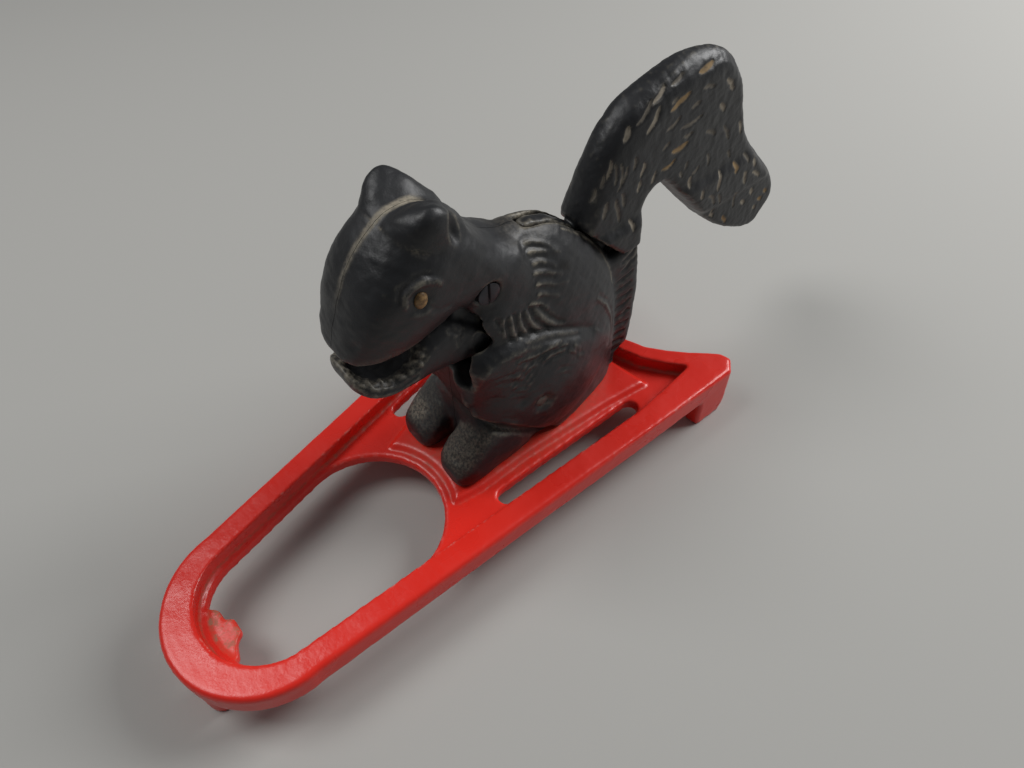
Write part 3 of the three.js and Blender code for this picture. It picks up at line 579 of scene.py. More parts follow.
def seam_marks(points):
    """The rubbed, dusty seam down the face and over the crown, broader on the far half."""
    across = np.abs(points[:, 1])
    face = ease(-14 - points[:, 0], 0, 5) * ease(points[:, 2], 88, 104)
    width = np.where(points[:, 1] > 0, 2.4, 1.1)
    seam = face * (1 - ease(across, 0.4 * width, width))
    return seam, seam * ease(points[:, 2], 104, 111)


def painted_inside_shade(points, normals):
    """Where shade is painted on: the walls of the throat, the knuckle's bay and the hollow, which no light
    reaches.
    """
    across = np.abs(points[:, 1])
    below_pivot = ease(78 - points[:, 2], 0, 4)
    inner = ease(13.2 - across, 0, 0.5) * ease(points[:, 0], -15.5, -14) * below_pivot
    inner *= ease(points[:, 2], 20, 30) * ease(30 - points[:, 0], 0, 4)
    walls = ease(-normals[:, 1] * np.sign(points[:, 1]), 0.4, 0.8) * below_pivot
    return np.maximum(inner, walls * ease(14 - across, 0, 0.6) * ease(points[:, 0], -16, -15))


def wear_of_body(points, normals, fine, broad):
    """Where the lacquer is rubbed through to pale iron: ridges, seam, slot, crests and the tail's seat."""
    across = np.abs(points[:, 1])
    seam, crown = seam_marks(points)
    beside_slot = ease(4.6 - across, 0, 0.9) * ease(across, 2.6, 3.0)
    back = beside_slot * ease(points[:, 0], 14, 17) * ease(normals[:, 2], 0, 0.3)
    wear = 0.16 * ease(fine, 0.04, 0.12) + 0.12 * ease(broad, 0.2, 0.45) + 0.55 * crown + 0.7 * back
    wear += 0.25 * seam
    for side in (-1, 1):
        for start, end in CRESTS:
            half_way = (start[0] * 0.6 + end[0] * 0.4, start[1] * 0.6 + end[1] * 0.4)
            wear += 0.5 * stroke(points, [start, half_way], 0.7, side)
        wear += 0.6 * stroke(points, SEAT_EDGE, 0.6, side)
    return wear


def dust_and_sheen_of_body(points, normals, fine):
    """Where dust has settled: hollows, creases, the mouth, the feet, the chest and the back; the top of the
    back is also paled as a painted highlight.
    """
    x, z, up = points[:, 0], points[:, 2], normals[:, 2]
    seam, crown = seam_marks(points)
    hollow = ease(-fine, 0.03, 0.1)
    ears = ease(z, 105, 109) * ease(-9 - x, 0, 4)
    foot_line = ears * np.maximum(*[stroke(points, ear_foot(side), 0.75) for side in (-1, 1)])
    throat = 1 - ease(oval(points, THROAT, 15, 5), 0.7, 1.05)
    creased = np.exp(-(side_distance(points, THIGH_FOOT) ** 2)) * ease(30 - z, 0, 4)
    dust = 0.06 * hollow + 0.3 * creased + 0.75 * foot_line + 0.25 * throat + 0.6 * crown + 0.5 * seam
    toe = 1 - ease(ball(points, FAR_TOE, (7.0, 6.0, 5.0)), 0.5, 1.2)
    dust += 0.6 * toe * ease(up, 0.2, 0.6)
    foot_top = ease(up, 0.2, 0.7) * ease(24 - z, 0, 4) * ease(4 - x, 0, 6)
    dust += np.where(points[:, 1] > 0, 0.2, 0.55) * foot_top
    chest = ease(-10 - x, 0, 3) * (1 - ease(np.abs(z - 27), 3, 7)) * ease(11 - np.abs(points[:, 1]), 0, 3)
    dust += 0.15 * chest
    # Dust and painted highlight: upward faces of the back are paled in the dust's colour
    top_dust_and_sheen = ease(up, 0.55, 0.9) * ease(x, 4, 14) * ease(z, 60, 70)
    return dust + 0.22 * top_dust_and_sheen


def mark_body(points, normals, edges):
    """Wear, dust with a painted highlight on the top of the back, and painted shade of each point of the
    body.
    """
    fine = bend_of(points, normals, edges, 3)
    broad = bend_of(points, normals, edges, 14)
    # deep is painted shade: it darkens the throat, the knuckle's bay and the hollow to near black
    deep = painted_inside_shade(points, normals)
    wear = wear_of_body(points, normals, fine, broad)
    dust = dust_and_sheen_of_body(points, normals, fine)
    return {"wear": wear * (1 - deep), "dust": dust * (1 - deep), "deep": deep}


def body_skin():
    """Both halves of the squirrel as one carved skin, so that they meet in a crisp seam."""
    nodes = ["left_body_half", "right_body_half"]
    piece = cast_skin(nodes, "body_skin", FIGURE, SKIN_GRAIN, 26, close_seam, held_body)
    mesh = piece.data
    edges = edges_of(mesh)
    set_points(mesh, soften_flank(points_of(mesh), normals_of(mesh), edges))
    set_points(mesh, trim_ears(points_of(mesh), edges))
    points, normals = points_of(mesh), normals_of(mesh)
    lift = np.zeros(len(points))
    for side in (-1, 1):
        half = points[:, 1] * side > 0
        lift[half] = carve_half(points[half], normals[half], side)
    ground = ease(points[:, 2], 0.2, 1.5)
    lift = spread(lift, edges, 1, 0.5) * ease(np.abs(points[:, 1]), 0.3, 1.4)
    # The seam stands up as a low ridge over the face
    face = ease(-16 - points[:, 0], 0, 4) * ease(points[:, 2], 90, 104)
    face *= ease(normals[:, 2] - normals[:, 0], 0.2, 0.6)
    lift += 0.35 * np.exp(-((points[:, 1] / 0.9) ** 2)) * face
    lift += 0.09 * ripple(points, 7.0, 11) + 0.04 * ripple(points, 2.6, 12)
    points = points + normals * (lift * ground)[:, None]
    set_points(mesh, points)
    keep_marks(mesh, mark_body(points, normals_of(mesh), edges))
    return piece


def body_half(whole, node, name, side):
    """One half of the carved skin, cut off flat just short of the seam."""
    work = bmesh.new()
    work.from_mesh(whole.data)
    cut = bmesh.ops.bisect_plane(
        work, geom=work.verts[:] + work.edges[:] + work.faces[:], dist=0.0005,
        plane_co=(0, side * SEAM_GAP, 0), plane_no=(0, side, 0), clear_inner=True,
    )
    rim = [part for part in cut["geom_cut"] if isinstance(part, bmesh.types.BMEdge)]
    for edge in rim:
        edge.smooth = False
    bmesh.ops.triangle_fill(work, edges=rim, normal=(0, -side, 0))
    finish_piece(piece_of(work, name), FIGURE, black_iron, "housing", [node])


# Lever: the tail's painted cuts, the jaw's grain and lip

LEVER_GRAIN = 0.55
# Each cut: start x and z, end x and z, width and paint
TAIL_CUTS = [
    (56.4, 109.5, 53.3, 104.4, 1.7, "beige"), (48.6, 99.6, 46.8, 94.1, 1.0, "beige"),
    (49.7, 97.7, 50.0, 91.5, 0.9, "grey"), (51.7, 97.1, 52.9, 88.3, 0.9, "grey"),
    (54.4, 95.9, 54.1, 90.6, 0.9, "grey"), (71.3, 117.2, 65.7, 113.7, 1.2, "beige"),
    (67.9, 111.9, 63.0, 105.3, 1.4, "beige"), (78.6, 118.4, 74.0, 116.6, 1.1, "grey"),
    (81.1, 112.5, 72.8, 109.2, 1.8, "ochre"), (93.0, 118.1, 85.8, 116.9, 1.8, "ochre"),
    (87.6, 111.6, 93.9, 108.8, 1.2, "grey"), (87.9, 106.1, 84.5, 105.2, 1.3, "grey"),
    (78.7, 103.7, 73.5, 101.3, 1.1, "grey"), (90.7, 100.4, 80.6, 99.3, 1.1, "grey"),
    (87.3, 95.4, 82.5, 95.6, 1.2, "grey"), (85.7, 92.6, 78.0, 92.1, 1.9, "ochre"),
    (75.5, 96.4, 72.6, 94.5, 1.1, "grey"), (80.1, 88.1, 73.9, 86.5, 1.1, "ochre"),
    (98.3, 82.8, 99.8, 77.7, 1.0, "grey"), (94.2, 79.4, 91.5, 77.5, 1.1, "grey"),
    (90.8, 77.2, 89.7, 73.3, 1.3, "beige"), (106.0, 73.4, 107.6, 64.3, 1.4, "beige"),
    (114.3, 73.0, 117.4, 67.1, 1.7, "ochre"), (122.7, 65.2, 125.1, 59.2, 1.5, "beige"),
    (126.5, 69.9, 129.4, 65.2, 1.5, "beige"), (128.9, 62.3, 134.4, 58.5, 1.3, "beige"),
    (101.0, 109.3, 105.1, 103.8, 1.4, "beige"), (99.8, 101.1, 102.4, 97.7, 1.5, "beige"),
    (113.6, 89.6, 115.8, 83.7, 1.2, "beige"), (94.8, 92.8, 100.0, 90.0, 1.2, "grey"),
    (133.4, 51.9, 134.8, 48.9, 1.7, "beige"), (143.6, 46.5, 146.3, 44.8, 1.6, "ochre"),
    (141.3, 43.9, 143.1, 42.5, 1.6, "ochre"), (128.5, 48.7, 130.7, 45.9, 1.6, "beige"),
    (138.8, 40.8, 140.3, 39.3, 1.5, "beige"), (117.5, 46.7, 119.4, 40.4, 1.4, "ochre"),
    (108.2, 52.8, 109.5, 48.4, 1.2, "beige"), (97.4, 68.9, 97.9, 63.8, 1.2, "beige"),
    (102.2, 63.4, 106.0, 57.1, 1.1, "grey"), (59.3, 97.9, 59.8, 93.4, 1.0, "grey"),
    (64.3, 93.7, 63.5, 89.0, 1.2, "beige"), (52.0, 84.7, 55.1, 75.1, 1.1, "grey"),
    (59.2, 74.5, 60.8, 69.5, 1.1, "beige"), (43.2, 90.8, 41.4, 86.9, 1.1, "grey"),
    (46.4, 85.8, 47.7, 80.0, 1.6, "grey"), (63.4, 87.3, 62.6, 83.6, 1.2, "beige"),
    (84.2, 81.9, 85.3, 78.4, 1.1, "grey"), (119.3, 56.6, 123.1, 48.4, 1.0, "grey"),
    (104.6, 91.0, 109.0, 84.4, 1.1, "grey"), (120.3, 74.7, 123.9, 68.7, 1.2, "grey"),
    (65.5, 114.8, 59.1, 109.3, 1.0, "grey"), (75.7, 112.4, 73.6, 111.5, 1.0, "grey"),
    (70.3, 88.0, 69.3, 83.6, 1.1, "beige"), (87.3, 84.5, 86.7, 81.8, 1.0, "grey"),
    (107.6, 60.7, 109.8, 55.6, 1.0, "grey"), (110.6, 78.7, 112.4, 75.4, 1.0, "grey"),
    (46.0, 95.1, 44.3, 91.3, 1.0, "grey"), (55.2, 86.2, 56.6, 80.7, 1.0, "grey"),
]
TAIL_EDGE = [
    (36.4, 71.0), (40.6, 82.4), (45.3, 93.8), (51.6, 104.5), (61.9, 113.4), (82.0, 120.1), (101.0, 117.4),
    (112.0, 106.3), (116.6, 93.8), (122.3, 81.3), (133.8, 67.1), (148.8, 51.5), (152.2, 40.4), (145.9, 31.5),
]
TAIL_ROUNDING = 10.0
TAIL_SQUARENESS = 6
TAIL_HALF_WIDTH = 8.4
TAIL_FRONT_SWELL = 1.7
TIP_HALF_WIDTH = 6.4
TAIL_TOP = 120.2
KNUCKLE_CREASES = [[(-13.0, 70.9), (-15.3, 69.4), (-16.4, 66.3)], [(-15.7, 70.7), (-18.4, 73.0)]]
KNUCKLE_HALF_WIDTH = 12.3
JAW_TROUGH = (-38, 68.5)
JAW_LIP = [(-49.6, 67.4), (-45.0, 64.4), (-38.0, 62.8), (-31.0, 63.2)]


def curved(places, steps=5):
    """A smooth line through places of the side view."""
    places = np.array(places, dtype=float)
    padded = np.vstack([2 * places[0] - places[1], places, 2 * places[-1] - places[-2]])
    found = []
    for before, start, end, after in zip(padded, padded[1:], padded[2:], padded[3:]):
        for step in range(steps):
            t = step / steps
            bend = (2 * before - 5 * start + 4 * end - after) * t * t
            twist = (3 * start - before - 3 * end + after) * t ** 3
            found.append(start + 0.5 * ((end - before) * t + bend + twist))
    found.append(places[-1])
    return np.array(found)


def inward_of(share, edge):
    """The direction into the tail at each point's place along its edge."""
    runs = np.r_[0, np.cumsum(np.linalg.norm(np.diff(edge, axis=0), axis=1))]
    runs /= runs[-1]
    heading = np.gradient(edge, axis=0)
    heading /= np.linalg.norm(heading, axis=1)[:, None]
    return np.interp(share, runs, heading[:, 1]), np.interp(share, runs, -heading[:, 0])


def round_tail(points):
    """Runs the tail's flat edge into its sides along an oval section, deepest at the front.

    The front also swells a little forwards, and the tip is thinned evenly.
    """
    x, z = points[:, 0], points[:, 2]
    edge = curved(TAIL_EDGE)
    line = np.c_[edge[:, 0], np.zeros(len(edge)), edge[:, 1]]
    away, share = along_line(points * (1, 0, 1), line)
    rounding = TAIL_ROUNDING * (0.4 + 0.6 * ease(share, 0.03, 0.15)) * (1 - 0.5 * ease(share, 0.4, 0.6))
    tail = ease(x, 37, 39) * np.maximum(ease(z, 71, 74), ease(x, 64, 68))
    half = TAIL_HALF_WIDTH - 2.8 * ease(x, 60, 130)
    deep = 1 - np.clip(away / rounding, 0, 1)
    high = np.clip(np.abs(points[:, 1]) / half, 0, 1)
    section = (deep ** TAIL_SQUARENESS + high ** TAIL_SQUARENESS) ** (1 / TAIL_SQUARENESS)
    squeeze = section / np.maximum(np.hypot(deep, high), 1e-6)
    front = ease(z, 76, 80) * ease(121 - z, 0, 12) * ease(98 - x, 0, 36)
    swell = TAIL_FRONT_SWELL * ease(deep, 0.1, 0.9) * front
    shift = (rounding * deep * (1 - squeeze) - swell) * tail
    inward_x, inward_z = inward_of(share, edge)
    moved = points.copy()
    moved[:, 0] += inward_x * shift
    moved[:, 2] += inward_z * shift
    moved[:, 1] *= 1 + (np.where(deep > 0, squeeze, 1) - 1) * tail
    slim = TIP_HALF_WIDTH + 1.7 * ease(z, 55, 80) + 6 * (1 - ease(x, 84, 92))
    moved[:, 1] = np.clip(moved[:, 1], -slim, slim)
    return moved


def widen_knuckle(points):
    """The knuckle stays broad to its very end."""
    place = ease(points[:, 0], -13, -7) * ease(points[:, 2], 53, 57) * ease(74 - points[:, 2], 0, 5)
    wide = points.copy()
    broader = points[:, 1] * (1 + 0.24 * place)
    wide[:, 1] = np.clip(broader, -KNUCKLE_HALF_WIDTH, KNUCKLE_HALF_WIDTH)
    return wide


def carve_tail(points, side):
    """The cuts of the tail's fur; also returns the paint in them."""
    lift = np.zeros(len(points))
    fill = np.zeros(len(points))
    ochre = np.zeros(len(points))
    for x0, z0, x1, z1, width, paint in TAIL_CUTS:
        touch = stroke(points, bent((x0, z0), (x1, z1), 0.05), width * 0.72, side)
        lift -= 0.45 * touch
        shade = {"ochre": 1.0, "beige": 0.9, "grey": 0.45}[paint]
        fill = np.maximum(fill, shade * ease(touch, 0.35, 0.75))
        if paint == "ochre":
            ochre = np.maximum(ochre, ease(touch, 0.2, 0.6))
    return lift, fill, ochre


def carve_jaw(points, normals, side):
    """Lip, rough trough and the creases of the knuckle; also returns where the trough is."""
    lift = np.zeros(len(points))
    for crease in KNUCKLE_CREASES:
        lift -= 0.4 * stroke(points, crease, 0.75, side)
    jaw = ease(-12 - points[:, 0], 0, 3)
    trough = 1 - ease(oval(points, JAW_TROUGH, 12.5, 5.5), 0.75, 1.05)
    trough = trough * ease(normals[:, 2], 0.0, 0.5) * jaw
    lift += 0.38 * trough * ripple(points, 2.4, 21)
    outward = normals[:, 1] * side
    lift -= 0.5 * stroke(points, JAW_LIP, 0.9, side) * ease(outward, -0.2, 0.3)
    return lift, trough


def lever_casting():
    """Tail, arm, hub, knuckle and jaw: one casting, carved alike on both faces."""
    piece = cast_skin(["tail_jaw_lever"], "lever_casting", FIGURE, LEVER_GRAIN, 16)
    mesh = piece.data
    set_points(mesh, widen_knuckle(round_tail(points_of(mesh))))
    points, normals, edges = points_of(mesh), normals_of(mesh), edges_of(mesh)
    lift, fill, ochre, trough = np.zeros((4, len(points)))
    for side in (-1, 1):
        own = ease(points[:, 1] * side, -0.4, 0.4)
        tail_lift, tail_fill, tail_ochre = carve_tail(points, side)
        jaw_lift, jaw_trough = carve_jaw(points, normals, side)
        lift += (tail_lift + jaw_lift) * own
        fill = np.maximum(fill, tail_fill * own)
        ochre = np.maximum(ochre, tail_ochre * own)
        trough = np.maximum(trough, jaw_trough)
    lift += 0.07 * ripple(points, 6.0, 31) + 0.04 * ripple(points, 2.4, 32)
    points = points + normals * lift[:, None]
    points[:, 2] = np.minimum(points[:, 2], TAIL_TOP)
    set_points(mesh, points)
    normals = normals_of(mesh)
    fine = bend_of(points, normals, edges, 3)
    broad = bend_of(points, normals, edges, 14)
    lip = ease(-26 - points[:, 0], 0, 4) * ease(points[:, 2], 64, 67)
    flank = ease(points[:, 0], 40, 46) * ease(np.abs(normals[:, 1]), 0.75, 0.92)
    wear = 0.15 * ease(fine, 0.03, 0.09) + 0.2 * ease(broad, 0.15, 0.4)
    wear += 0.15 * lip * ease(fine, 0.03, 0.08)
    wear *= 1 - flank
    hollow = ease(-fine, 0.02, 0.08) * (1 - fill)
    dust = 0.1 * hollow + 0.25 * trough + 0.06 * lip
    keep_marks(mesh, {"wear": wear, "dust": dust, "fill": fill, "ochre": ochre})
    finish_piece(piece, FIGURE, black_iron, "lever", ["tail_jaw_lever"])


# Base: heights above the table, and the flash's place and reach in plan

BASE_GRAIN = 0.72
KEPT_INSIDE = 0.01
FLOOR_TOP = 17.0
RIM_EDGE = 20.0
FLASH = (18.0, 3.0)
FLASH_REACH = (9.0, 14.0)
# In the figure's frame: the ground that its feet cover
FEET_MIDDLE = 12
FEET_REACH = (40, 22)


def round_feet(points):
    """How near each point of the base lies to the figure's feet, from 0 to 1, on the floor's height."""
    local = np.asarray(FIGURE.inverted() @ BASE)
    figure_points = points @ local[:3, :3].T + local[:3, 3]
    along = (figure_points[:, 0] - FEET_MIDDLE) / FEET_REACH[0]
    feet = np.hypot(along, figure_points[:, 1] / FEET_REACH[1])
    return (1 - ease(feet, 0.85, 1.35)) * ease(points[:, 2], FLOOR_TOP, FLOOR_TOP + 1)


def base_casting():
    """The enamelled foot plate, its edges run round, with worn ridges that also carry a painted highlight,
    grime and bare flash.
    """
    piece = cast_skin(["base_casting"], "base_enamelled", BASE, BASE_GRAIN, 3)
    mesh = piece.data
    points, normals, edges = points_of(mesh), normals_of(mesh), edges_of(mesh)
    lift = 0.035 * ripple(points, 9.0, 41) + 0.015 * ripple(points, 3.2, 42)
    lift *= ease(points[:, 2], 0.3, 2.0)
    points = points + normals * lift[:, None]
    points[:, 0] = np.maximum(points[:, 0], KEPT_INSIDE)
    points[:, 2] = np.maximum(points[:, 2], KEPT_INSIDE)
    set_points(mesh, points)
    normals = normals_of(mesh)
    fine = bend_of(points, normals, edges, 2)
    broad = bend_of(points, normals, edges, 10)
    # Pale pink on convex edges, most on the rim's top edges: rubbed enamel with a painted highlight
    rim = 0.35 + 0.65 * ease(points[:, 2], RIM_EDGE, RIM_EDGE + 2.5)
    patchy_wear_and_highlight = rim * ease(ripple(points, 30.0, 43), -0.6, 0.8)
    wear = (0.65 * ease(fine, 0.07, 0.2) + 0.35 * ease(broad, 0.25, 0.5)) * patchy_wear_and_highlight
    grime = 0.7 * ease(-fine, 0.03, 0.12) + 0.35 * ease(-broad, 0.12, 0.4) + 0.6 * round_feet(points)
    flash = np.hypot(*((points[:, :2] - FLASH) / FLASH_REACH).T)
    top = ease(FLOOR_TOP + 0.2 - points[:, 2], 0, 0.6) * ease(normals[:, 2], 0.2, 0.7)
    bare = (1 - ease(flash, 0.75, 1.1)) * top
    keep_marks(mesh, {"wear": wear, "grime": grime, "bare": bare})
    finish_piece(piece, BASE, red_enamel, "housing", ["base_casting"])


# Small parts


def fastener(node, name, width):
    """A steel fastener from its node, its edges eased by a small bevel."""
    piece = merged_copy([node], name, FIGURE)
    eased = piece.modifiers.new("eased", "BEVEL")
    eased.width = width
    eased.segments = 2
    eased.limit_method = "ANGLE"
    eased.angle_limit = math.radians(35)
    apply_modifiers(piece)
    shade_smooth(piece.data)
    piece.data.set_sharp_from_angle(angle=math.radians(30))
    finish_piece(piece, FIGURE, dark_steel, "housing", [node])


def eye_bead(name, side):
    """The painted bead of an eye, a flat oval dome set in its socket."""
    radii, lean, socket = (2.05, 1.35, 2.75), math.radians(10), 16.3
    work = bmesh.new()
    bmesh.ops.create_uvsphere(work, u_segments=32, v_segments=20, radius=1.0)
    bmesh.ops.scale(work, vec=radii, verts=work.verts)
    bmesh.ops.rotate(work, cent=(0, 0, 0), matrix=Matrix.Rotation(lean, 3, "Y"), verts=work.verts)
    bmesh.ops.translate(work, vec=(EYE[0], side * socket, EYE[1]), verts=work.verts)
    piece = piece_of(work, name)
    shade_smooth(piece.data)
    finish_piece(piece, FIGURE, ochre_paint, "housing", [])


def peened_rivet():
    """The rivet through the thigh, its two ends hammered flat and a little ragged."""
    half, shank, head = 21.6, 2.2, (3.3, 1.35, 3.3)
    work = bmesh.new()
    for side in (-1, 1):
        made = bmesh.ops.create_uvsphere(work, u_segments=28, v_segments=16, radius=1.0)["verts"]
        bmesh.ops.scale(work, vec=head, verts=made)
        bmesh.ops.translate(work, vec=(0, side * (half - 0.9), 0), verts=made)
    bmesh.ops.create_cone(
        work, cap_ends=True, segments=28, radius1=shank, radius2=shank, depth=2 * half - 2,
        matrix=Matrix.Rotation(math.radians(90), 4, "X"),
    )
    bmesh.ops.translate(work, vec=(RIVET[0], 0, RIVET[1]), verts=work.verts)
    piece = piece_of(work, "peened_rivet")
    points = points_of(piece.data)
    ends = ease(np.abs(points[:, 1]), half - 1.2, half)
    points[:, 1] += np.sign(points[:, 1]) * ends * 0.16 * ripple(points, 2.2, 51)
    radial = points - np.array([RIVET[0], 0, RIVET[1]])
    radial[:, 1] = 0
    on_head = np.abs(points[:, 1]) > half - 2.4
    points += radial * 0.06 * ripple(points, 3.0, 52)[:, None] * on_head[:, None]
    set_points(piece.data, points)
    shade_smooth(piece.data)
    finish_piece(piece, FIGURE, peened_iron, "housing", ["thigh_rivet"])


# Materials


def hex_colour(text):
    """An sRGB hex value as the linear colour that a shader takes."""
    parts = [int(text[place:place + 2], 16) / 255 for place in (1, 3, 5)]
    linear = [part / 12.92 if part <= 0.04045 else ((part + 0.055) / 1.055) ** 2.4 for part in parts]
    return (*linear, 1.0)


def add(tree, kind, inputs, **settings):
    """Adds a node: settings are its own, inputs are values or the sockets that feed it."""
    node = tree.nodes.new(kind)
    for name, value in settings.items():
        setattr(node, name, value)
    for name, value in inputs.items():
        if isinstance(value, bpy.types.NodeSocket):
            tree.links.new(value, node.inputs[name])
        else:
            node.inputs[name].default_value = value
    return node


def mark_of(tree, name):
    """One of the marks kept on the mesh."""
    return add(tree, "ShaderNodeAttribute", {}, attribute_name=name).outputs["Fac"]


def noise(tree, size, detail, roughness=0.5):
    """Noise whose features are about size millimetres large, fixed to the piece."""
    where = add(tree, "ShaderNodeTexCoord", {}).outputs["Object"]
    return add(tree, "ShaderNodeTexNoise", {
        "Vector": where, "Scale": 1 / (size * MM), "Detail": detail, "Roughness": roughness,
    }).outputs["Fac"]


def ranged(tree, value, start, end, low, high):
    """A value's run from start to end, laid on the run from low to high and held there beyond it."""
    return add(tree, "ShaderNodeMapRange", {
        "Value": value, "From Min": start, "From Max": end, "To Min": low, "To Max": high,
    }).outputs["Result"]


def combine(tree, operation, first, second):
    """Two values multiplied, or the larger of them."""
    return add(tree, "ShaderNodeMath", {0: first, 1: second}, operation=operation).outputs["Value"]


def mix_numbers(tree, share, first, second):
    """A number that runs from the first to the second; the mix node's sockets are known by place."""
    return add(tree, "ShaderNodeMix", {0: share, 2: first, 3: second}, data_type="FLOAT").outputs[0]


def mix_colours(tree, share, first, second):
    """A colour that runs from the first to the second, each a hex value or a socket."""
    colours = [hex_colour(colour) if isinstance(colour, str) else colour for colour in (first, second)]
    return add(tree, "ShaderNodeMix", {0: share, 6: colours[0], 7: colours[1]}, data_type="RGBA").outputs[2]


def new_material(name):
    """An empty material and its node tree."""
    material = bpy.data.materials.new(name)
    material.use_nodes = True
    material.node_tree.nodes.clear()
    return material, material.node_tree


def surface(tree, colour, roughness, height=None, strength=0, depth=0, metallic=0.0):
    """The shader that all else feeds; height is a relief of depth millimetres, seen by its strength."""
    inputs = {"Base Color": colour, "Roughness": roughness, "Metallic": metallic}
    if height is not None:
        bump = add(tree, "ShaderNodeBump", {"Strength": strength, "Distance": depth * MM, "Height": height})
        inputs["Normal"] = bump.outputs["Normal"]
    shader = add(tree, "ShaderNodeBsdfPrincipled", inputs)
    add(tree, "ShaderNodeOutputMaterial", {"Surface": shader.outputs["BSDF"]})


def make_black_iron():
    """Sand-cast grey iron under thin black baked lacquer.

    The eye sees a deep black with a cool satin sheen, the sand's fine grain through the lacquer, bare
    pale iron and old dust on ridges and in hollows, and beige and ochre paint in the tail's cuts. The dust
    on the top of the back is also a painted highlight, and painted shade turns the throat, the knuckle's
    bay and the hollow near black.
    """
    material, tree = new_material("black_lacquered_cast_iron")
    wear, dust, fill, ochre, deep = [
        mark_of(tree, name) for name in ("wear", "dust", "fill", "ochre", "deep")
    ]
    # Sand grain of 0.5 mm is finer than a pixel, so it is drawn at 1 mm, with pits and clouds
    grain = noise(tree, 1.0, 3.0, 0.6)
    pits = noise(tree, 2.6, 5.0, 0.7)
    cloud = noise(tree, 14, 4.0, 0.55)
    lacquer = mix_colours(tree, cloud, "#131416", "#232427")
    worn = combine(tree, "MULTIPLY", wear, ranged(tree, pits, 0.38, 0.62, 0.15, 1.0))
    bare = mix_colours(tree, worn, lacquer, "#b3aa97")
    # Dust, and on the top of the back a painted highlight in the dust's colour
    dusted = combine(tree, "MULTIPLY", dust, ranged(tree, grain, 0.4, 0.62, 0.15, 0.85))
    dusty = mix_colours(tree, dusted, bare, "#8d8474")
    paint = mix_colours(tree, ochre, "#9c9282", "#937a56")
    filled = combine(tree, "MULTIPLY", fill, ranged(tree, pits, 0.3, 0.5, 0.65, 1.0))
    painted = mix_colours(tree, filled, dusty, paint)
    # Painted shade: the deep mark turns the throat, the knuckle's bay and the hollow near black
    colour = mix_colours(tree, deep, painted, "#070606")
    covered = combine(tree, "MAXIMUM", dusted, filled)
    roughness = mix_numbers(tree, covered, ranged(tree, cloud, 0.3, 0.7, 0.39, 0.52), 0.85)
    surface(tree, colour, roughness, mix_numbers(tree, 0.35, grain, pits), 0.5, 0.25)
    return material


def make_red_enamel():
    """Brush-dipped red stove enamel over the same cast iron.

    The eye sees a warm saturated red with a soft gloss, a slightly uneven coat, pink-white rubbed edges
    that also carry a painted highlight, brown grime in the corners and round the feet, and greenish bare
    metal on the flash.
    """
    material, tree = new_material("red_stove_enamel")
    wear, grime, bare = [mark_of(tree, name) for name in ("wear", "grime", "bare")]
    # The coat is uneven in clouds of 20 mm and chips at 3 mm, over the casting's grain of 1.2 mm
    cloud = noise(tree, 20, 3.0)
    chips = noise(tree, 3.0, 6.0, 0.72)
    grain = noise(tree, 1.2, 2.0)
    red = mix_colours(tree, cloud, "#dc261b", "#e83024")
    # Pink-white on the edges: rubbed enamel, and a painted highlight along them
    worn = combine(tree, "MULTIPLY", wear, ranged(tree, chips, 0.5, 0.62, 0.0, 1.0))
    rubbed = mix_colours(tree, worn, red, "#e2a79c")
    soiled = combine(tree, "MULTIPLY", grime, ranged(tree, chips, 0.35, 0.65, 0.1, 0.75))
    grimy = mix_colours(tree, soiled, rubbed, "#85604a")
    open_metal = combine(tree, "MULTIPLY", bare, ranged(tree, chips, 0.48, 0.6, 0.1, 0.6))
    colour = mix_colours(tree, open_metal, grimy, "#7b7a5f")
    dull = combine(tree, "MAXIMUM", soiled, open_metal)
    roughness = mix_numbers(tree, dull, ranged(tree, cloud, 0.3, 0.7, 0.24, 0.34), 0.8)
    surface(tree, colour, roughness, mix_numbers(tree, 0.5, grain, chips), 0.35, 0.3)
    return material


def make_metal(name, dark, light, low, high, grain_size):
    """A plain iron or steel surface: its colour and gloss drift in clouds and it is finely marked."""
    material, tree = new_material(name)
    cloud = noise(tree, grain_size * 4, 4.0)
    grain = noise(tree, grain_size, 3.0)
    colour = mix_colours(tree, cloud, dark, light)
    surface(tree, colour, ranged(tree, grain, 0.3, 0.7, low, high), grain, 0.4, 0.12, metallic=1.0)
    return material


def make_ochre_paint():
    """A dab of ochre oil paint, uneven and dull: the eye sees a warm spot with darker specks."""
    material, tree = new_material("ochre_oil_paint")
    specks = noise(tree, 1.6, 4.0, 0.65)
    colour = mix_colours(tree, ranged(tree, specks, 0.42, 0.62, 0.0, 1.0), "#94744a", "#63492a")
    surface(tree, colour, 0.55, specks, 0.4, 0.15)
    return material


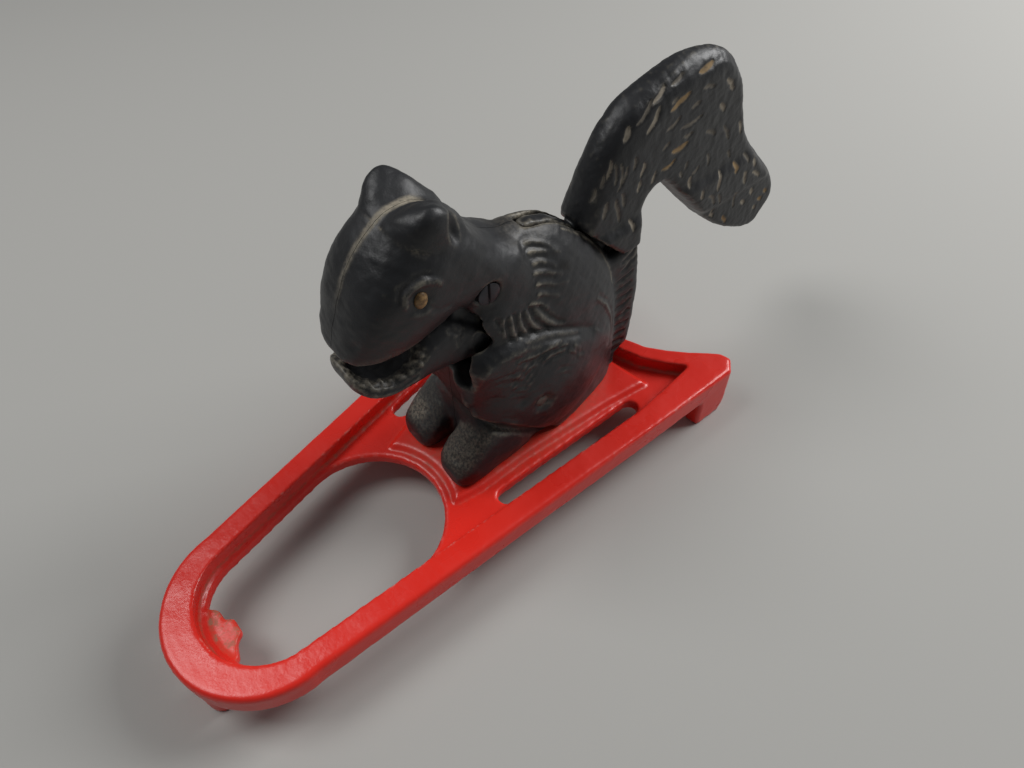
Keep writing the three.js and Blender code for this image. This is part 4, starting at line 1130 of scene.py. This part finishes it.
def make_table():
    """A plain painted table: the eye sees a dull pale grey that holds the shadow."""
    material, tree = new_material("pale_matt_paint")
    surface(tree, hex_colour("#aeada9"), 0.9)
    work = bmesh.new()
    bmesh.ops.create_grid(work, x_segments=1, y_segments=1, size=3.0)
    table = piece_of(work, "table")
    table.data.materials.append(material)


# Light


def make_lamp(name, place, target, size, power):
    """A square soft lamp, turned to its target."""
    data = bpy.data.lights.new(name, "AREA")
    data.shape = "SQUARE"
    data.size = size
    data.energy = power
    lamp = bpy.data.objects.new(name, data)
    lamp.location = place
    lamp.rotation_euler = (Vector(target) - Vector(place)).to_track_quat("-Z", "Y").to_euler()
    scene.collection.objects.link(lamp)


def make_light():
    """A room's plain soft light: window light from the right, weaker light from behind on the left."""
    world = bpy.data.worlds.new("room")
    scene.world = world
    world.use_nodes = True
    world.node_tree.nodes.clear()
    sky = add(world.node_tree, "ShaderNodeBackground", {"Color": hex_colour("#f2f4f7"), "Strength": 0.13})
    add(world.node_tree, "ShaderNodeOutputWorld", {"Surface": sky.outputs["Background"]})
    make_lamp("window_right", (0.92, -0.34, 0.78), (0.05, 0, 0.03), 0.6, 12)
    make_lamp("room_left", (-0.4, 0.5, 1.0), (0, 0, 0.03), 0.5, 5.5)
    scene.view_settings.view_transform = "Standard"


make_camera()
black_iron = make_black_iron()
red_enamel = make_red_enamel()
# Turned steel, blackened with age: dark, half-dull metal
dark_steel = make_metal("blackened_steel", "#2c2c2e", "#55555a", 0.38, 0.55, 1.2)
# Hammered iron rivet, rubbed bare: lighter grey with a broken sheen
peened_iron = make_metal("peened_iron", "#3a3836", "#8a8680", 0.45, 0.65, 1.4)
ochre_paint = make_ochre_paint()
make_table()
make_light()

whole_body = body_skin()
body_half(whole_body, "left_body_half", "left_body_casting", -1)
body_half(whole_body, "right_body_half", "right_body_casting", 1)
bpy.data.objects.remove(whole_body)
lever_casting()
base_casting()
eye_bead("left_eye", -1)
eye_bead("right_eye", 1)
peened_rivet()
fastener("pivot_screw", "pivot_screw_turned", 0.25)
fastener("pivot_nut", "pivot_nut_turned", 0.25)
fastener("base_screw", "base_screw_turned", 0.25)
fastener("base_washer", "base_washer_stamped", 0.2)
fastener("trapped_nut", "trapped_nut_cut", 0.2)
